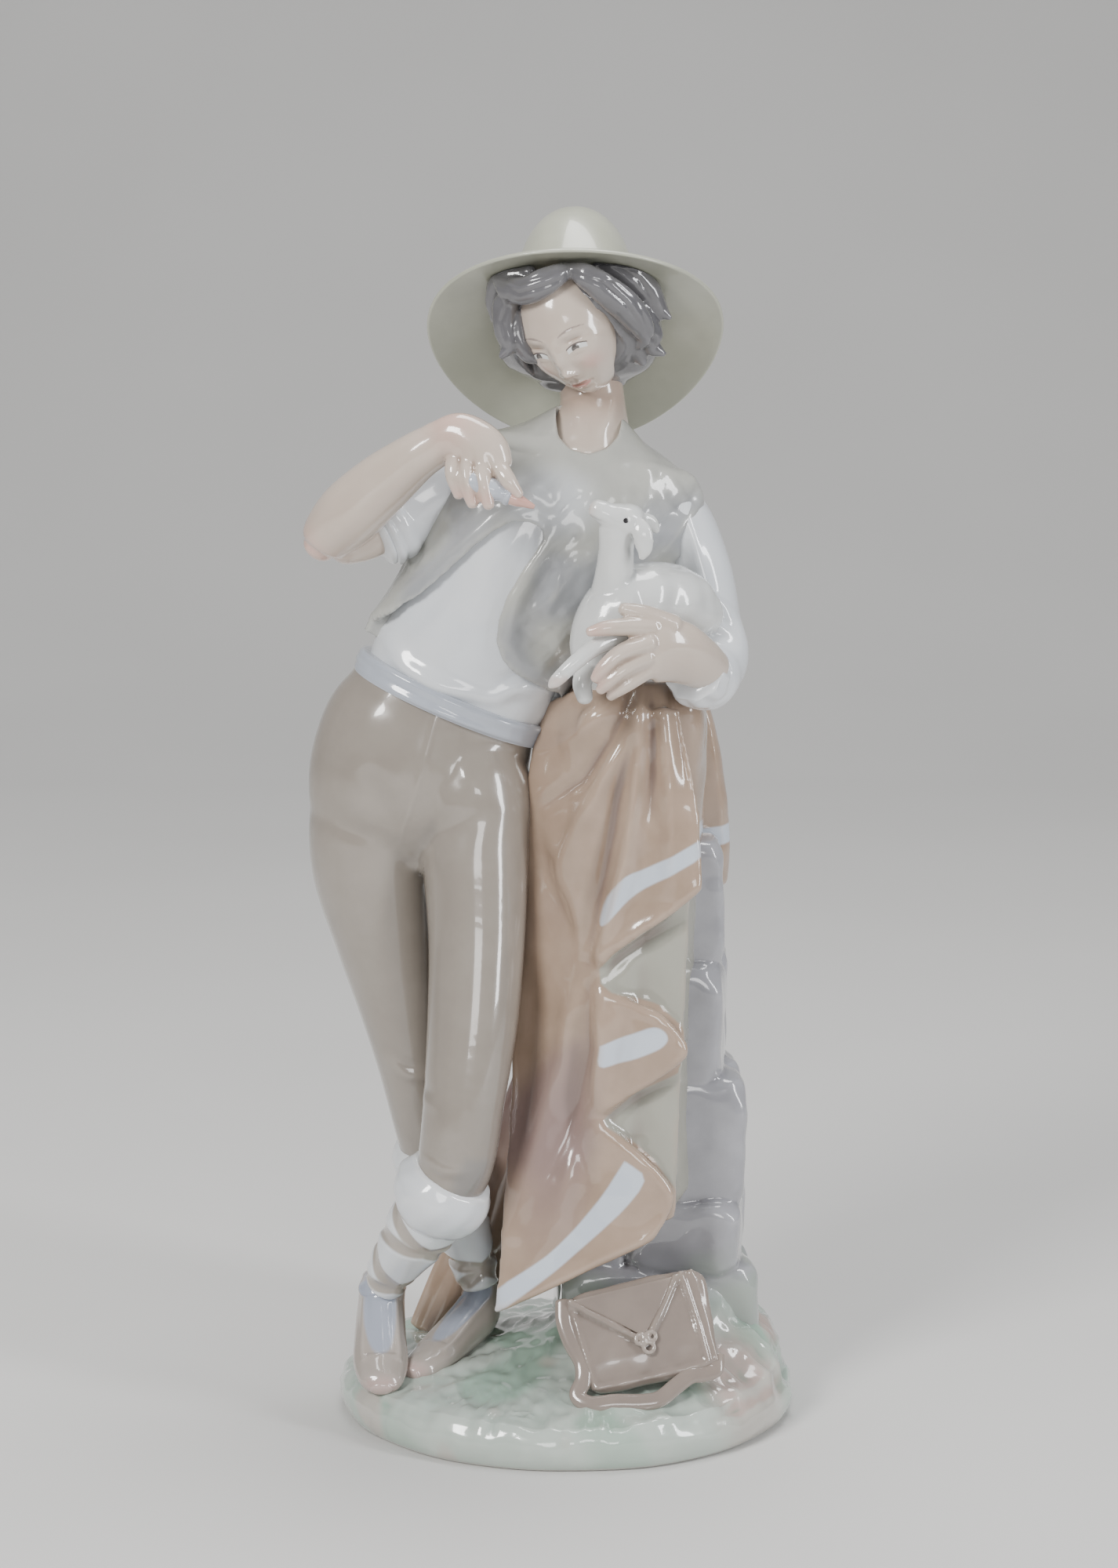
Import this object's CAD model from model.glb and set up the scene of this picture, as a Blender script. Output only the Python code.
# %% [markdown]
# # A porcelain group in glaze
# The object is a fired group: a shepherd in a wide hat leans on a draped stone pillar and feeds a lamb.
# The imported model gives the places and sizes. This lesson builds each casting again with soft, fine
# surfaces and paints it under a clear glaze. Lengths below are in millimetres of the group itself.

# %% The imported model
import math

import bmesh
import bpy
import numpy as np
from mathutils import Matrix, Vector


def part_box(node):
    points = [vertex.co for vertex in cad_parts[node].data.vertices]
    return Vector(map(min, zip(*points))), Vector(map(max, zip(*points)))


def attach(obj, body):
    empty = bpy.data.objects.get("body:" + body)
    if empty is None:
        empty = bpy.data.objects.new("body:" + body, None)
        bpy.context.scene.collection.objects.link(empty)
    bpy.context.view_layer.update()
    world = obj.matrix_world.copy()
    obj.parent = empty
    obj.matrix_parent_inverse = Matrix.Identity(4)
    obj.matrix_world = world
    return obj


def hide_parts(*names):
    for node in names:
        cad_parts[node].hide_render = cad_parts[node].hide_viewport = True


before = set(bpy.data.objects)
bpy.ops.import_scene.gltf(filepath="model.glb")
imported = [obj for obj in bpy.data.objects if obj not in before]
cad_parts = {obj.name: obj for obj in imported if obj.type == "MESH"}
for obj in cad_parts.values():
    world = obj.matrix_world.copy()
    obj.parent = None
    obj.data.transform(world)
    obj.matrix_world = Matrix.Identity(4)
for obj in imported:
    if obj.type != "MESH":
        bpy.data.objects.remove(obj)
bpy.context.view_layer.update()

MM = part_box("hat")[1].z / 331.7      # one millimetre of the group, in metres

# %% [markdown]
# ## A mesh from arrays
# A surface can be clicked together, but a cast piece is easier to say as a function: rows of rings.
# Every ring is joined to the next, and both ends close with a fan. The signed volume tells which way
# the faces look, so a piece can't come out inside out.

# %% Meshes from arrays
def linked(name, data):
    """A new object in the scene, round a mesh, a light or a camera."""
    made = bpy.data.objects.new(name, data)
    bpy.context.scene.collection.objects.link(made)
    return made


def make(name, points, quads, triangles):
    """An object from arrays. The sum of a.(b x c) over its triangles is 6 x its volume.

    Under 0 the faces look inwards, so they are turned."""
    corners = points[np.vstack([quads[:, [0, 1, 2]], quads[:, [0, 2, 3]], triangles])]
    volume = (corners[:, 0] * np.cross(corners[:, 1], corners[:, 2])).sum()
    turn = slice(None, None, -1 if volume < 0 else 1)
    mesh = bpy.data.meshes.new(name)
    mesh.from_pydata((points * MM).tolist(), [], quads[:, turn].tolist() + triangles[:, turn].tolist())
    return linked(name, mesh)


def skin(name, rings):
    """rings[row, side] joined into quads, and each end ring joined to its own middle."""
    rows, sides, _ = rings.shape
    row, side = np.meshgrid(np.arange(rows - 1), np.arange(sides), indexing="ij")
    after = (side + 1) % sides
    quads = np.stack([row * sides + side, row * sides + after, (row + 1) * sides + after,
                      (row + 1) * sides + side], -1).reshape(-1, 4)
    ring, following = np.arange(sides), (np.arange(sides) + 1) % sides
    last = (rows - 1) * sides
    fans = np.vstack([np.stack([following, ring, np.full(sides, rows * sides)], -1),
                      np.stack([ring + last, following + last, np.full(sides, rows * sides + 1)], -1)])
    points = np.vstack([rings.reshape(-1, 3), rings[0].mean(0), rings[-1].mean(0)])
    return make(name, points, quads, fans)


def points_of(piece):
    """Vertex places in millimetres and unit normals, as two arrays."""
    count = len(piece.data.vertices)
    places, normals = np.empty(count * 3), np.empty(count * 3)
    piece.data.vertices.foreach_get("co", places)
    piece.data.vertices.foreach_get("normal", normals)
    return places.reshape(-1, 3) / MM, normals.reshape(-1, 3)


def move_to(piece, places):
    """Writes places in millimetres back into the mesh."""
    piece.data.vertices.foreach_set("co", (places * MM).ravel())
    piece.data.update()


def note(piece, name, values):
    """Keeps a number for every vertex, which the material reads under that name."""
    made = piece.data.attributes.new(name, "FLOAT", "POINT")
    made.data.foreach_set("value", np.asarray(values, float))

# %% [markdown]
# ## Limbs, sleeves and shoes: a section carried along a path
# A leg changes its width and depth as it goes down. Five numbers say each station: x, y, z, half width
# and half depth. A smooth curve runs through the stations, and a rounded section rides along it.

# %% Lofts
def circle(count):
    """`count` even angles round a full turn."""
    return np.linspace(0, 2 * math.pi, count, endpoint=False)


def boxier(parts, power):
    """sign(f) |f|^power of each part: sines and cosines of a circle or ball, pushed out towards a box."""
    return [np.sign(part) * np.abs(part) ** power for part in parts]


def smooth(stations, count):
    """`count` rows read from the Catmull-Rom curve that passes through every station."""
    rows = np.array(stations, float)
    padded = np.vstack([2 * rows[0] - rows[1], rows, 2 * rows[-1] - rows[-2]])
    place = np.linspace(0, len(rows) - 1, count)
    first = np.minimum(place.astype(int), len(rows) - 2)
    t = (place - first)[:, None]
    a, b, c, d = (padded[first + k] for k in range(4))
    return b + 0.5 * ((c - a) * t + (2 * a - 5 * b + 4 * c - d) * t ** 2 + (3 * b - a - 3 * c + d) * t ** 3)


DOME_ANGLES = (84, 66, 48, 30, 14)      # degrees up a dome, one ring for each


def unit(vectors):
    """Each vector over its own length."""
    return vectors / np.linalg.norm(vectors, axis=-1, keepdims=True)


def tube(stations, sides=48, count=48, front=(0, -1, 0), upright=False, dome=0.5, relief=None):
    """Rings of a loft: middle + across * width * cos + outward * depth * sin, with a domed end at each side.

    relief(turn, along) is added to both half axes, in millimetres."""
    rows = smooth(stations, count)
    tangent = np.tile([0, 0, 1.0], (count, 1)) if upright else unit(np.gradient(rows[:, :3], axis=0))
    across = unit(np.cross(tangent, front))
    outward = np.cross(across, tangent)
    turn = circle(sides)
    along = np.linspace(0, 1, count)
    extra = np.zeros((count, sides)) if relief is None else relief(turn[None, :], along[:, None])
    offset = (across[:, None] * ((rows[:, 3:4] + extra) * np.cos(turn))[..., None]
              + outward[:, None] * ((rows[:, 4:5] + extra) * np.sin(turn))[..., None])
    rings = rows[:, None, :3] + offset
    angle = np.radians(DOME_ANGLES)[:, None, None]
    low = rows[0, :3] + offset[0] * np.cos(angle) - tangent[0] * dome * rows[0, 3:].min() * np.sin(angle)
    high = rows[-1, :3] + offset[-1] * np.cos(angle) + tangent[-1] * dome * rows[-1, 3:].min() * np.sin(angle)
    return np.concatenate([low, rings, high[::-1]])


def along_rings(count):
    """How far along the loft each ring of a tube lies, 0 to 1, with the rings of its two domed ends."""
    ends = len(DOME_ANGLES)
    return np.concatenate([np.zeros(ends), np.linspace(0, 1, count), np.ones(ends)])[:, None]


def leaf(first_edge, second_edge, thick, count=40, sides=40):
    """A flat fold of cloth: each ring reaches from one edge curve to the other, and is `thick` to each side."""
    one, two = smooth(first_edge, count), smooth(second_edge, count)
    middle, half = (one + two) / 2, (two - one) / 2
    out = unit(np.cross(unit(np.gradient(middle, axis=0)), unit(half + 1e-9)))
    turn = circle(sides)
    wide, deep = boxier((np.cos(turn), np.sin(turn)), 0.75)
    across = half[:, None] * wide[None, :, None]
    return middle[:, None] + across + out[:, None] * (thick * deep)[None, :, None]


def turned_off(turn, at):
    """The angle from `at` to turn, between minus and plus half a turn."""
    return np.angle(np.exp(1j * (turn - at)))

# %% [markdown]
# ## Soft relief
# A modeller presses creases into the clay with a finger. Here a crease is a line in the front view, and
# its depth falls off on both sides as a bell curve. Fleece, grass and stone get a smooth lumpy field:
# a sum of plane waves in random directions.

# %% Creases, lumps and painted outlines
OFF = -9.0      # far under every painted edge: nothing is painted here


def bell(distance, width):
    """exp(-(distance / width)^2): 1 in the middle, and next to nothing two widths away."""
    return np.exp(-(distance / width) ** 2)


def ramp(values, start, end):
    """0 at start, 1 at end, straight between them and held beyond them."""
    return np.clip((values - start) / (end - start), 0, 1)


def to_line(flat, way):
    """Distance of each flat point from a broken line, and how far along the line the nearest place is."""
    way = np.array(way, float)
    start, step = way[:-1], np.diff(way, axis=0)
    along = (((flat[:, None] - start) * step).sum(-1) / (step ** 2).sum(-1)).clip(0, 1)
    gap = np.linalg.norm(flat[:, None] - start - along[..., None] * step, axis=-1)
    near = gap.argmin(1)
    pick = np.arange(len(flat))
    return gap[pick, near], (near + along[pick, near]) / len(step)


def creases(places, normals, lines):
    """Sum of height * bell(distance, width), fading towards each line's ends and on faces that look away."""
    flat, total = places[:, [0, 2]], np.zeros(len(places))
    facing = np.clip(-normals[:, 1] * 2.2 + 0.25, 0, 1)
    for height, width, way in lines:
        gap, along = to_line(flat, way)
        total += height * np.sin(math.pi * (0.1 + 0.8 * along)) * bell(gap, width)
    return total * facing


def outlined(places, outline):
    """Signed distance from a closed outline in the front view: over 0 inside it, under 0 outside."""
    flat = places[:, [0, 2]]
    gap, _ = to_line(flat, outline + outline[:1])
    a, b = np.array(outline), np.roll(outline, -1, axis=0)
    x, z = flat[:, :1], flat[:, 1:]
    crosses = (a[:, 1] > z) != (b[:, 1] > z)
    where = (b[:, 0] - a[:, 0]) * (z - a[:, 1]) / (b[:, 1] - a[:, 1] + 1e-12) + a[:, 0]
    return np.where((crosses & (x < where)).sum(1) % 2 == 1, gap, -gap)


def lumps(places, size, seed=1, count=16):
    """A sum of sines of plane waves about `size` long, in seeded random directions, about -1 to 1."""
    rng = np.random.default_rng(seed)
    ways = unit(rng.normal(size=(count, 3))) * (2 * math.pi / (size * rng.uniform(0.75, 1.35, (count, 1))))
    return np.sin(places @ ways.T + rng.uniform(0, 2 * math.pi, count)).sum(1) / math.sqrt(count)


def press(piece, height):
    """Moves each vertex along its normal by height(places, normals), in millimetres."""
    places, normals = points_of(piece)
    move_to(piece, places + normals * height(places, normals)[:, None])


def press_lines(piece, lines, more=lambda places: 0):
    """Presses the creases of the lines into a piece, and adds more(places) to their height."""
    press(piece, lambda places, normals: creases(places, normals, lines) + more(places))


def rotation(*steps):
    """The product of turns by so many degrees about the named axes, as an array."""
    product = Matrix.Identity(3)
    for degrees, axis in steps:
        product = product @ Matrix.Rotation(math.radians(degrees), 3, axis)
    return np.array(product)

# %% [markdown]
# ## Luting: several forms become one casting
# Hands, the lamb and the trousers are forms that run into each other. A voxel remesh wraps one even skin
# round them all, and a smoothing pass rounds the joins, as a wet sponge does.

# %% Fusing and carving
def fused(name, parts, voxel, soften, carve=()):
    """One closed skin round all the parts, less the carving parts, with `soften` rounds of smoothing."""
    bm = bmesh.new()
    for part in parts:
        bm.from_mesh(part.data)
    mesh = bpy.data.meshes.new(name)
    bm.to_mesh(mesh)
    bm.free()
    made = linked(name, mesh)
    steps = [("REMESH", dict(mode="VOXEL", voxel_size=voxel * MM))]
    steps += [("BOOLEAN", dict(operation="DIFFERENCE", solver="EXACT", object=cutter)) for cutter in carve]
    steps += [("REMESH", dict(mode="VOXEL", voxel_size=voxel * MM))] if carve else []
    steps += [("SMOOTH", dict(factor=0.5, iterations=soften))]
    for kind, settings in steps:
        modifier = made.modifiers.new(kind.lower(), kind)
        for key, value in settings.items():
            setattr(modifier, key, value)
    bpy.context.view_layer.update()
    made.data = bpy.data.meshes.new_from_object(made.evaluated_get(bpy.context.evaluated_depsgraph_get()))
    made.modifiers.clear()
    for part in (*parts, *carve):
        bpy.data.objects.remove(part)
    print(name, "fused from", len(parts), "forms:", len(made.data.polygons), "faces")
    return made


def slab(outline, near, far):
    """A cutter: an outline in the front view, carried from depth near to depth far."""
    count = len(outline)
    points = [(x * MM, y * MM, z * MM) for y in (near, far) for x, z in outline]
    sides = [(i, (i + 1) % count, (i + 1) % count + count, i + count) for i in range(count)]
    bm = bmesh.new()
    verts = [bm.verts.new(point) for point in points]
    for face in (*sides, range(count), range(count, 2 * count)):
        bm.faces.new([verts[i] for i in face])
    bmesh.ops.recalc_face_normals(bm, faces=bm.faces)
    mesh = bpy.data.meshes.new("cutter")
    bm.to_mesh(mesh)
    bm.free()
    return linked("cutter", mesh)

# %% [markdown]
# ## The glaze
# The colours of such a group are thin stains under one clear, glassy glaze. Where the glaze pools in a
# hollow the stain looks deeper; on a ridge it thins and lightens. A number for each vertex tells how
# hollow its place is, and the material mixes three tones of the same stain by it.

# %% How hollow a place is
def calmed(piece, rounds):
    """The places after rounds of moving 0.7 of the way to the neighbours' mean, and the mean edge length."""
    places, _ = points_of(piece)
    edges = np.empty(len(piece.data.edges) * 2, int)
    piece.data.edges.foreach_get("vertices", edges)
    a, b = edges.reshape(-1, 2).T
    count, calm = len(places), places.copy()
    degree = np.bincount(a, minlength=count) + np.bincount(b, minlength=count)
    for _ in range(rounds):
        total = np.stack([np.bincount(a, calm[b, k], count) + np.bincount(b, calm[a, k], count)
                          for k in range(3)], -1)
        calm = 0.3 * calm + 0.7 * total / np.maximum(degree, 1)[:, None]
    return calm, np.linalg.norm(places[a] - places[b], axis=1).mean()


def hollows(piece, rounds=14):
    """A calmed copy of the skin rises above it, along the normal, where the skin is hollow."""
    places, normals = points_of(piece)
    calm, length = calmed(piece, rounds)
    depth = ((calm - places) * normals).sum(1) / (length * math.sqrt(rounds) * 0.35)
    return depth.clip(-1, 1)

# %% Shader maths as expressions
class Paint:
    """One socket of a material's tree. + - * write Math nodes, and node() writes any other node."""

    def __init__(self, tree, socket=None):
        self.tree, self.socket = tree, socket

    def node(self, kind, settings, values, output=0):
        made = self.tree.nodes.new(kind)
        for key, value in settings.items():
            setattr(made, key, value)
        for key, value in values.items():
            if isinstance(value, Paint):
                self.tree.links.new(value.socket, made.inputs[key])
            else:
                made.inputs[key].default_value = value
        return Paint(self.tree, made.outputs[output])

    def math(self, operation, first, second):
        return self.node("ShaderNodeMath", {"operation": operation}, {0: first, 1: second})

    def __add__(self, other):
        return self.math("ADD", self, other)

    def __sub__(self, other):
        return self.math("SUBTRACT", self, other)

    def __rsub__(self, other):
        return self.math("SUBTRACT", other, self)

    def __mul__(self, other):
        return self.math("MULTIPLY", self, other)

    __radd__, __rmul__ = __add__, __mul__

    def between(self, low, high):
        """0 at low and 1 at high, eased at both ends."""
        return self.node("ShaderNodeMapRange", {"interpolation_type": "SMOOTHSTEP"},
                         {0: self, 1: low, 2: high})

    def mixed(self, first, second):
        """The first colour where this is 0, the second where it is 1."""
        ends = {6: first if isinstance(first, Paint) else (*first, 1),
                7: second if isinstance(second, Paint) else (*second, 1)}
        return self.node("ShaderNodeMix", {"data_type": "RGBA"}, {0: self, **ends}, output=2)

    def attribute(self, name):
        return self.node("ShaderNodeAttribute", {"attribute_name": name}, {}, output=2)

    def noise(self, scale, detail=3, roughness=0.5):
        place = self.node("ShaderNodeTexCoord", {}, {}, output=3)
        return self.node("ShaderNodeTexNoise", {}, {"Vector": place, "Scale": scale, "Detail": detail,
                                                    "Roughness": roughness})


def stain(code):
    """A colour from its six-digit code, made linear."""
    parts = [int(code[i:i + 2], 16) / 255 for i in (0, 2, 4)]
    return tuple(c / 12.92 if c <= 0.04045 else ((c + 0.055) / 1.055) ** 2.4 for c in parts)


PEEL = 0.05                  # how much of the glaze's own fine unevenness shows
CLEAR_GLAZE = {"Coat Roughness": 0.03, "IOR": 1.5}
GLAZES = {}


def glaze(name, middle, deep, thin, layers=(), roughness=0.16, coat=0.9, mottle=0.35, grain=None):
    """A stain under clear glaze, kept in GLAZES under its name.

    layers are (attribute, value where it starts, value where it is full, colour code), in painting order."""
    material = bpy.data.materials.new(name)
    material.use_nodes = True
    tree = material.node_tree
    shader = tree.nodes["Principled BSDF"]
    paint = Paint(tree)
    hollow = paint.attribute("hollow")
    cloud = paint.noise(70, 4, 0.55)
    colour = (cloud.between(0.32, 0.72) * mottle).mixed(stain(middle), stain(thin))
    for attribute, low, high, code in layers:
        colour = paint.attribute(attribute).between(low, high).mixed(colour, stain(code))
    colour = (hollow.between(-0.1, -0.7) * 0.45).mixed(colour, stain(thin))
    colour = (hollow.between(0.04, 0.75) * 0.8).mixed(colour, stain(deep))
    tree.links.new(colour.socket, shader.inputs["Base Color"])
    uneven = paint.noise(240, 2) * 0.08 + roughness - 0.04
    tree.links.new(uneven.socket, shader.inputs["Roughness"])
    surface = paint.noise(420, 1) * PEEL
    if grain:
        surface = surface + paint.noise(grain[0], 3) * grain[1]
    bump = paint.node("ShaderNodeBump", {}, {"Strength": 0.25, "Distance": 0.0006, "Height": surface})
    tree.links.new(bump.socket, shader.inputs["Normal"])
    for socket, value in {"Coat Weight": coat, **CLEAR_GLAZE}.items():
        shader.inputs[socket].default_value = value
    GLAZES[name] = material


glaze("grass_green", "A6B3AA", "7C9184", "BAC2BA", mottle=0.8, layers=(
    ("fresh", 0.1, 0.9, "93AB9C"), ("earth", 0.1, 0.9, "AF9F97"), ("rock", 0, 1, "96959B"),
    ("underside", 0.4, 0.6, "D6D2CA")))
glaze("stone_lilac", "939398", "605F66", "AFAFB4", mottle=0.4, layers=(("moss", 0.2, 1, "959D96"),))
glaze("blanket_peach", "9B8573", "695650", "B39D8B", mottle=0.5, layers=(
    ("dusk", 0.1, 1, "8A7570"), ("lining", -0.4, 0.4, "9B9A8F"), ("stripe", -0.4, 0.4, "C3CBD6")))
glaze("leather_brown", "82766E", "51463F", "998D83", mottle=0.4, layers=(("metal", 0.3, 0.7, "9A8F87"),))
glaze("trouser_taupe", "8B837A", "5F5A55", "9F988F", mottle=0.3, layers=(("patch", -2.2, 1.8, "827E7A"),))
glaze("linen_white", "D2D6DB", "A8AEB9", "E0E1E1", mottle=0.35, layers=(
    ("band", -0.2, 0.2, "A29A91"), ("mist", 0, 1, "BFC2C2")))
glaze("sash_blue", "A5ABB6", "7C808C", "BBC0C8")
glaze("fleece_grey", "A7A7A1", "86878A", "B8B8B1", mottle=0.6, roughness=0.22, coat=0.75, grain=(520, 0.25),
      layers=(("shade", 0, 1, "96989B"), ("mist", 0, 1, "C6C9CB")))
glaze("skin_bisque", "BFB0A3", "9A8373", "CFC3B7", mottle=0.3, layers=(
    ("shade", 0, 1, "AC9788"), ("blush", 0, 1, "CFA095"), ("lips", -0.12, 0.16, "B98177"),
    ("white", -0.1, 0.1, "D6D6D4"), ("iris", -0.06, 0.06, "4A4644"), ("line", -0.06, 0.06, "5E5450"),
    ("brow", -0.10, 0.16, "8D8079")))
glaze("hair_slate", "59585A", "363538", "727176", mottle=0.3)
glaze("hat_olive", "A5A697", "7F8073", "B6B7A9", mottle=0.5, roughness=0.3, coat=0.45)
glaze("shoe_grey", "A0978F", "6D665F", "B3ABA4", mottle=0.4, layers=(
    ("tongue", -0.3, 0.3, "9CA2B0"), ("toe", 0, 1, "B29C96")))
glaze("bottle_blue", "A4A9B4", "7F838E", "BFC4CC")
glaze("teat_rose", "C09184", "966A5F", "CDA99E")
glaze("lamb_white", "CED0CF", "A0A3A4", "DCDCD8", mottle=0.3, layers=(
    ("muzzle", 0, 1, "C9B9B2"), ("eye", -0.12, 0.12, "1E1C1E")))
PAINTED_EDGES = {"lining", "stripe", "patch", "band", "tongue", "eye",
                 "white", "iris", "line", "brow", "lips"}


def settle(piece, glaze_name, *nodes, **notes):
    """Gives a finished piece its glaze and numbers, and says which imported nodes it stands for.

    A number that is never written reads as 0, so edges that aren't painted on this piece are set to OFF."""
    note(piece, "hollow", hollows(piece))
    for name, values in notes.items():
        note(piece, name, values)
    for name in PAINTED_EDGES - set(notes):
        note(piece, name, np.full(len(piece.data.vertices), OFF))
    piece.data.materials.clear()
    piece.data.materials.append(GLAZES[glaze_name])
    piece.data.shade_smooth()
    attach(piece, "root")
    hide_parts(*nodes)
    print(f"{piece.name:24} {len(piece.data.polygons):7} faces  {glaze_name}")
    return piece

# %% [markdown]
# ## The mound
# A low oval of turf with a rounded side, which climbs to the pillar's foot. It is pressed in one mould,
# and the grass is scratched into it. A polar grid suits it: the rings go from under it, round the side
# and in over the top, and the height is a function of the place.

# %% Mound
MOUND_WIDE, MOUND_DEEP, RIM = 64.5, 58.5, 11.5


def turf(x, y):
    """Grass height: a low dome, a bell-shaped slope up to the pillar, and gentle lumps."""
    dome = 6.0 * (1 - (x / MOUND_WIDE) ** 2) * (1 - (y / MOUND_DEEP) ** 2)
    slope = 30.0 * np.exp(-((x - 31) / 25) ** 2 - ((y - 6) / 25) ** 2)
    return RIM + np.maximum(dome, 0) + slope


turn = circle(320)
profile = [(0.3, 0), (0.7, 0), (0.93, 0), (0.955, 0.2), (0.975, 1.4), (0.992, 3.6), (1, 5.8),
           (0.998, 8), (0.985, 9.9), (0.965, 11)]
share = np.concatenate([[p[0] for p in profile], np.linspace(0.945, 0.02, 96)])
wobble = 1 - 0.012 * (1 + np.sin(3 * turn + 0.6) * 0.5 + np.sin(7 * turn) * 0.3 + np.sin(13 * turn + 2) * 0.2)
x = MOUND_WIDE * share[:, None] * wobble * np.cos(turn)
y = MOUND_DEEP * share[:, None] * wobble * np.sin(turn)
z = turf(x, y)
z[:len(profile)] = np.array([p[1] for p in profile])[:, None]
ease = np.clip((0.965 - share) / 0.12, 0, 1)[:, None]
side_top = RIM - 0.5 + np.maximum(z - RIM, 0) * 0.9
z[len(profile):] = (side_top * (1 - ease) + z * ease)[len(profile):]
mound = skin("mound_turf", np.stack([x, y, z], -1))


def scratched(places, normals):
    """Lumps all over, and blades of grass that fan out towards the rim, with a small flower in front."""
    px, py, pz = places.T
    reach = np.hypot(px / MOUND_WIDE, py / MOUND_DEEP)
    angle = np.arctan2(py / MOUND_DEEP, px / MOUND_WIDE)
    top = ramp(pz, 7.5, 11.5)
    fan = np.sin(angle * 74 + 2.2 * np.sin(angle * 9) + reach * 7)
    zone = np.clip(lumps(places, 26, 5) * 1.2 + 0.35, 0, 1) * bell(reach - 0.86, 0.13)
    blades = np.clip(fan, -0.2, 1) ** 3 * zone * 0.75
    strokes = np.clip(np.sin(px * 1.1 + 3 * np.sin(py * 0.16) + pz * 0.5), 0, 1) ** 4 * 0.35
    tufts = strokes * np.clip(lumps(places, 18, 8) * 1.5, 0, 1)
    around = np.hypot(px + 12.1, py + 47.5)
    petals = bell(around - 1.7, 0.8) * (0.6 + 0.4 * np.cos(5 * np.arctan2(py + 47.5, px + 12.1)))
    side = ramp(pz, 12.5, 9.5) * ramp(pz, 1.5, 4.5)
    bank = ramp(px, 34, 48) * ramp(pz, 3, 9)
    return (top * (0.35 * lumps(places, 11, 2) + 0.16 * lumps(places, 5, 3) + blades + tufts + 0.75 * petals)
            - side * 0.55 * np.abs(lumps(places, 12, 4)) - bank * 1.3 * np.abs(lumps(places, 15, 22)) - 0.1)


press(mound, scratched)
places, _ = points_of(mound)
bare_earth = np.exp(-((places[:, 0] - 50) / 14) ** 2 - ((places[:, 1] + 28) / 16) ** 2) * 1.2
settle(mound, "grass_green", "mound",
       fresh=np.clip(lumps(places, 30, 11) * 0.9 + 0.25, 0, 1),
       earth=np.clip(bare_earth + np.clip(lumps(places, 20, 12) - 0.9, 0, 1), 0, 1),
       rock=ramp(places[:, 2], 31, 39), underside=(places[:, 2] < 0.3).astype(float))

# %% [markdown]
# ## The stone pillar
# Rough courses of stones in one casting, with deep joints. Each stone is a ball pushed out towards its
# box (a superellipsoid), made uneven by the lumpy field. Fusing them leaves rounded, glazed-over joints.

# %% Pillar
def boxy_ball(rows, sides, power, reach):
    """A ball whose sines and cosines are made boxier, and which is drawn in to `reach` from its middle."""
    up, turn = np.linspace(-1.5, 1.5, rows)[:, None], circle(sides)[None, :]
    parts = np.broadcast_arrays(np.cos(up) * np.cos(turn), np.cos(up) * np.sin(turn), np.sin(up))
    shape = np.stack(boxier(parts, power), -1)
    return shape / np.maximum(np.linalg.norm(shape, axis=-1, keepdims=True) / reach, 1)


# middle x and y, low and high z, half width and depth, degrees of turn, and where the course is split
COURSES = ((24.5, 14, 8, 41, 27.5, 22, 4, 0.46), (22.5, 14, 39, 60, 27, 22, -5, 0.58),
           (22.5, 13.5, 58, 95, 26, 21, 3, 0.44), (21, 13.5, 93, 127.5, 23, 19.5, -4, 0.56),
           (19, 14, 125.5, 161.5, 22.5, 19, 5, 0.42), (16.5, 14.5, 159.5, 196, 18, 16.5, -3, 0.55))


def stone(middle, half, turned, seed):
    """middle + half * a boxy ball, turned about the upright, with a lumpy skin."""
    shape = boxy_ball(26, 44, 0.30, 1.40) * half
    shape += unit(shape) * 0.55 * lumps(shape.reshape(-1, 3), 24, seed).reshape(shape.shape[:2])[..., None]
    c, s = math.cos(turned), math.sin(turned)
    return skin("stone", shape @ np.array([[c, s, 0], [-s, c, 0], [0, 0, 1]]) + middle)


stones = []
for number, (cx, cy, low, high, wide, deep, degrees, cut) in enumerate(COURSES):
    turned = math.radians(degrees)
    middle, tall = (cx, cy, (low + high) / 2), (high - low) / 2
    stones.append(stone(middle, (wide - 3, deep - 3, tall), turned, number))
    for x_share, y_share in ((cut - 1, -1), (cut - 1, 1), (cut, -1), (cut, 1)):
        half_x = wide * (1 - cut if x_share < 0 else cut)
        mid_x = -wide + half_x if x_share < 0 else wide - half_x
        split = deep * (1 + 0.16 * y_share * (-1) ** number) / 2
        seed = 20 + number * 4 + len(stones)
        offset = np.array([mid_x * math.cos(turned), mid_x * math.sin(turned), 0])
        offset += np.array([-math.sin(turned), math.cos(turned), 0]) * y_share * (deep - split)
        stones.append(stone(offset + middle, (half_x + 0.3, split + 0.3, tall + 0.2), turned, seed))
pillar = fused("pillar_stones", stones, 0.8, 3)
press(pillar, lambda places, normals: 0.16 * lumps(places, 9, 31) - 0.2)
places, _ = points_of(pillar)
settle(pillar, "stone_lilac", "stone_pillar",
       moss=np.clip((52 - places[:, 2]) / 16 + lumps(places, 15, 9) * 0.3, 0, 1))

# %% [markdown]
# ## The blanket
# A striped blanket is thrown over the pillar. Its front fall hangs from under the arm in fanning pleats,
# and its free edge turns back and forth in a cascade, which shows the pale lining. A modeller builds it
# from slabs of clay; here the fall is a loft, each turned fold a leaf, and all are fused before the
# pleats are pressed in.

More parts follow.
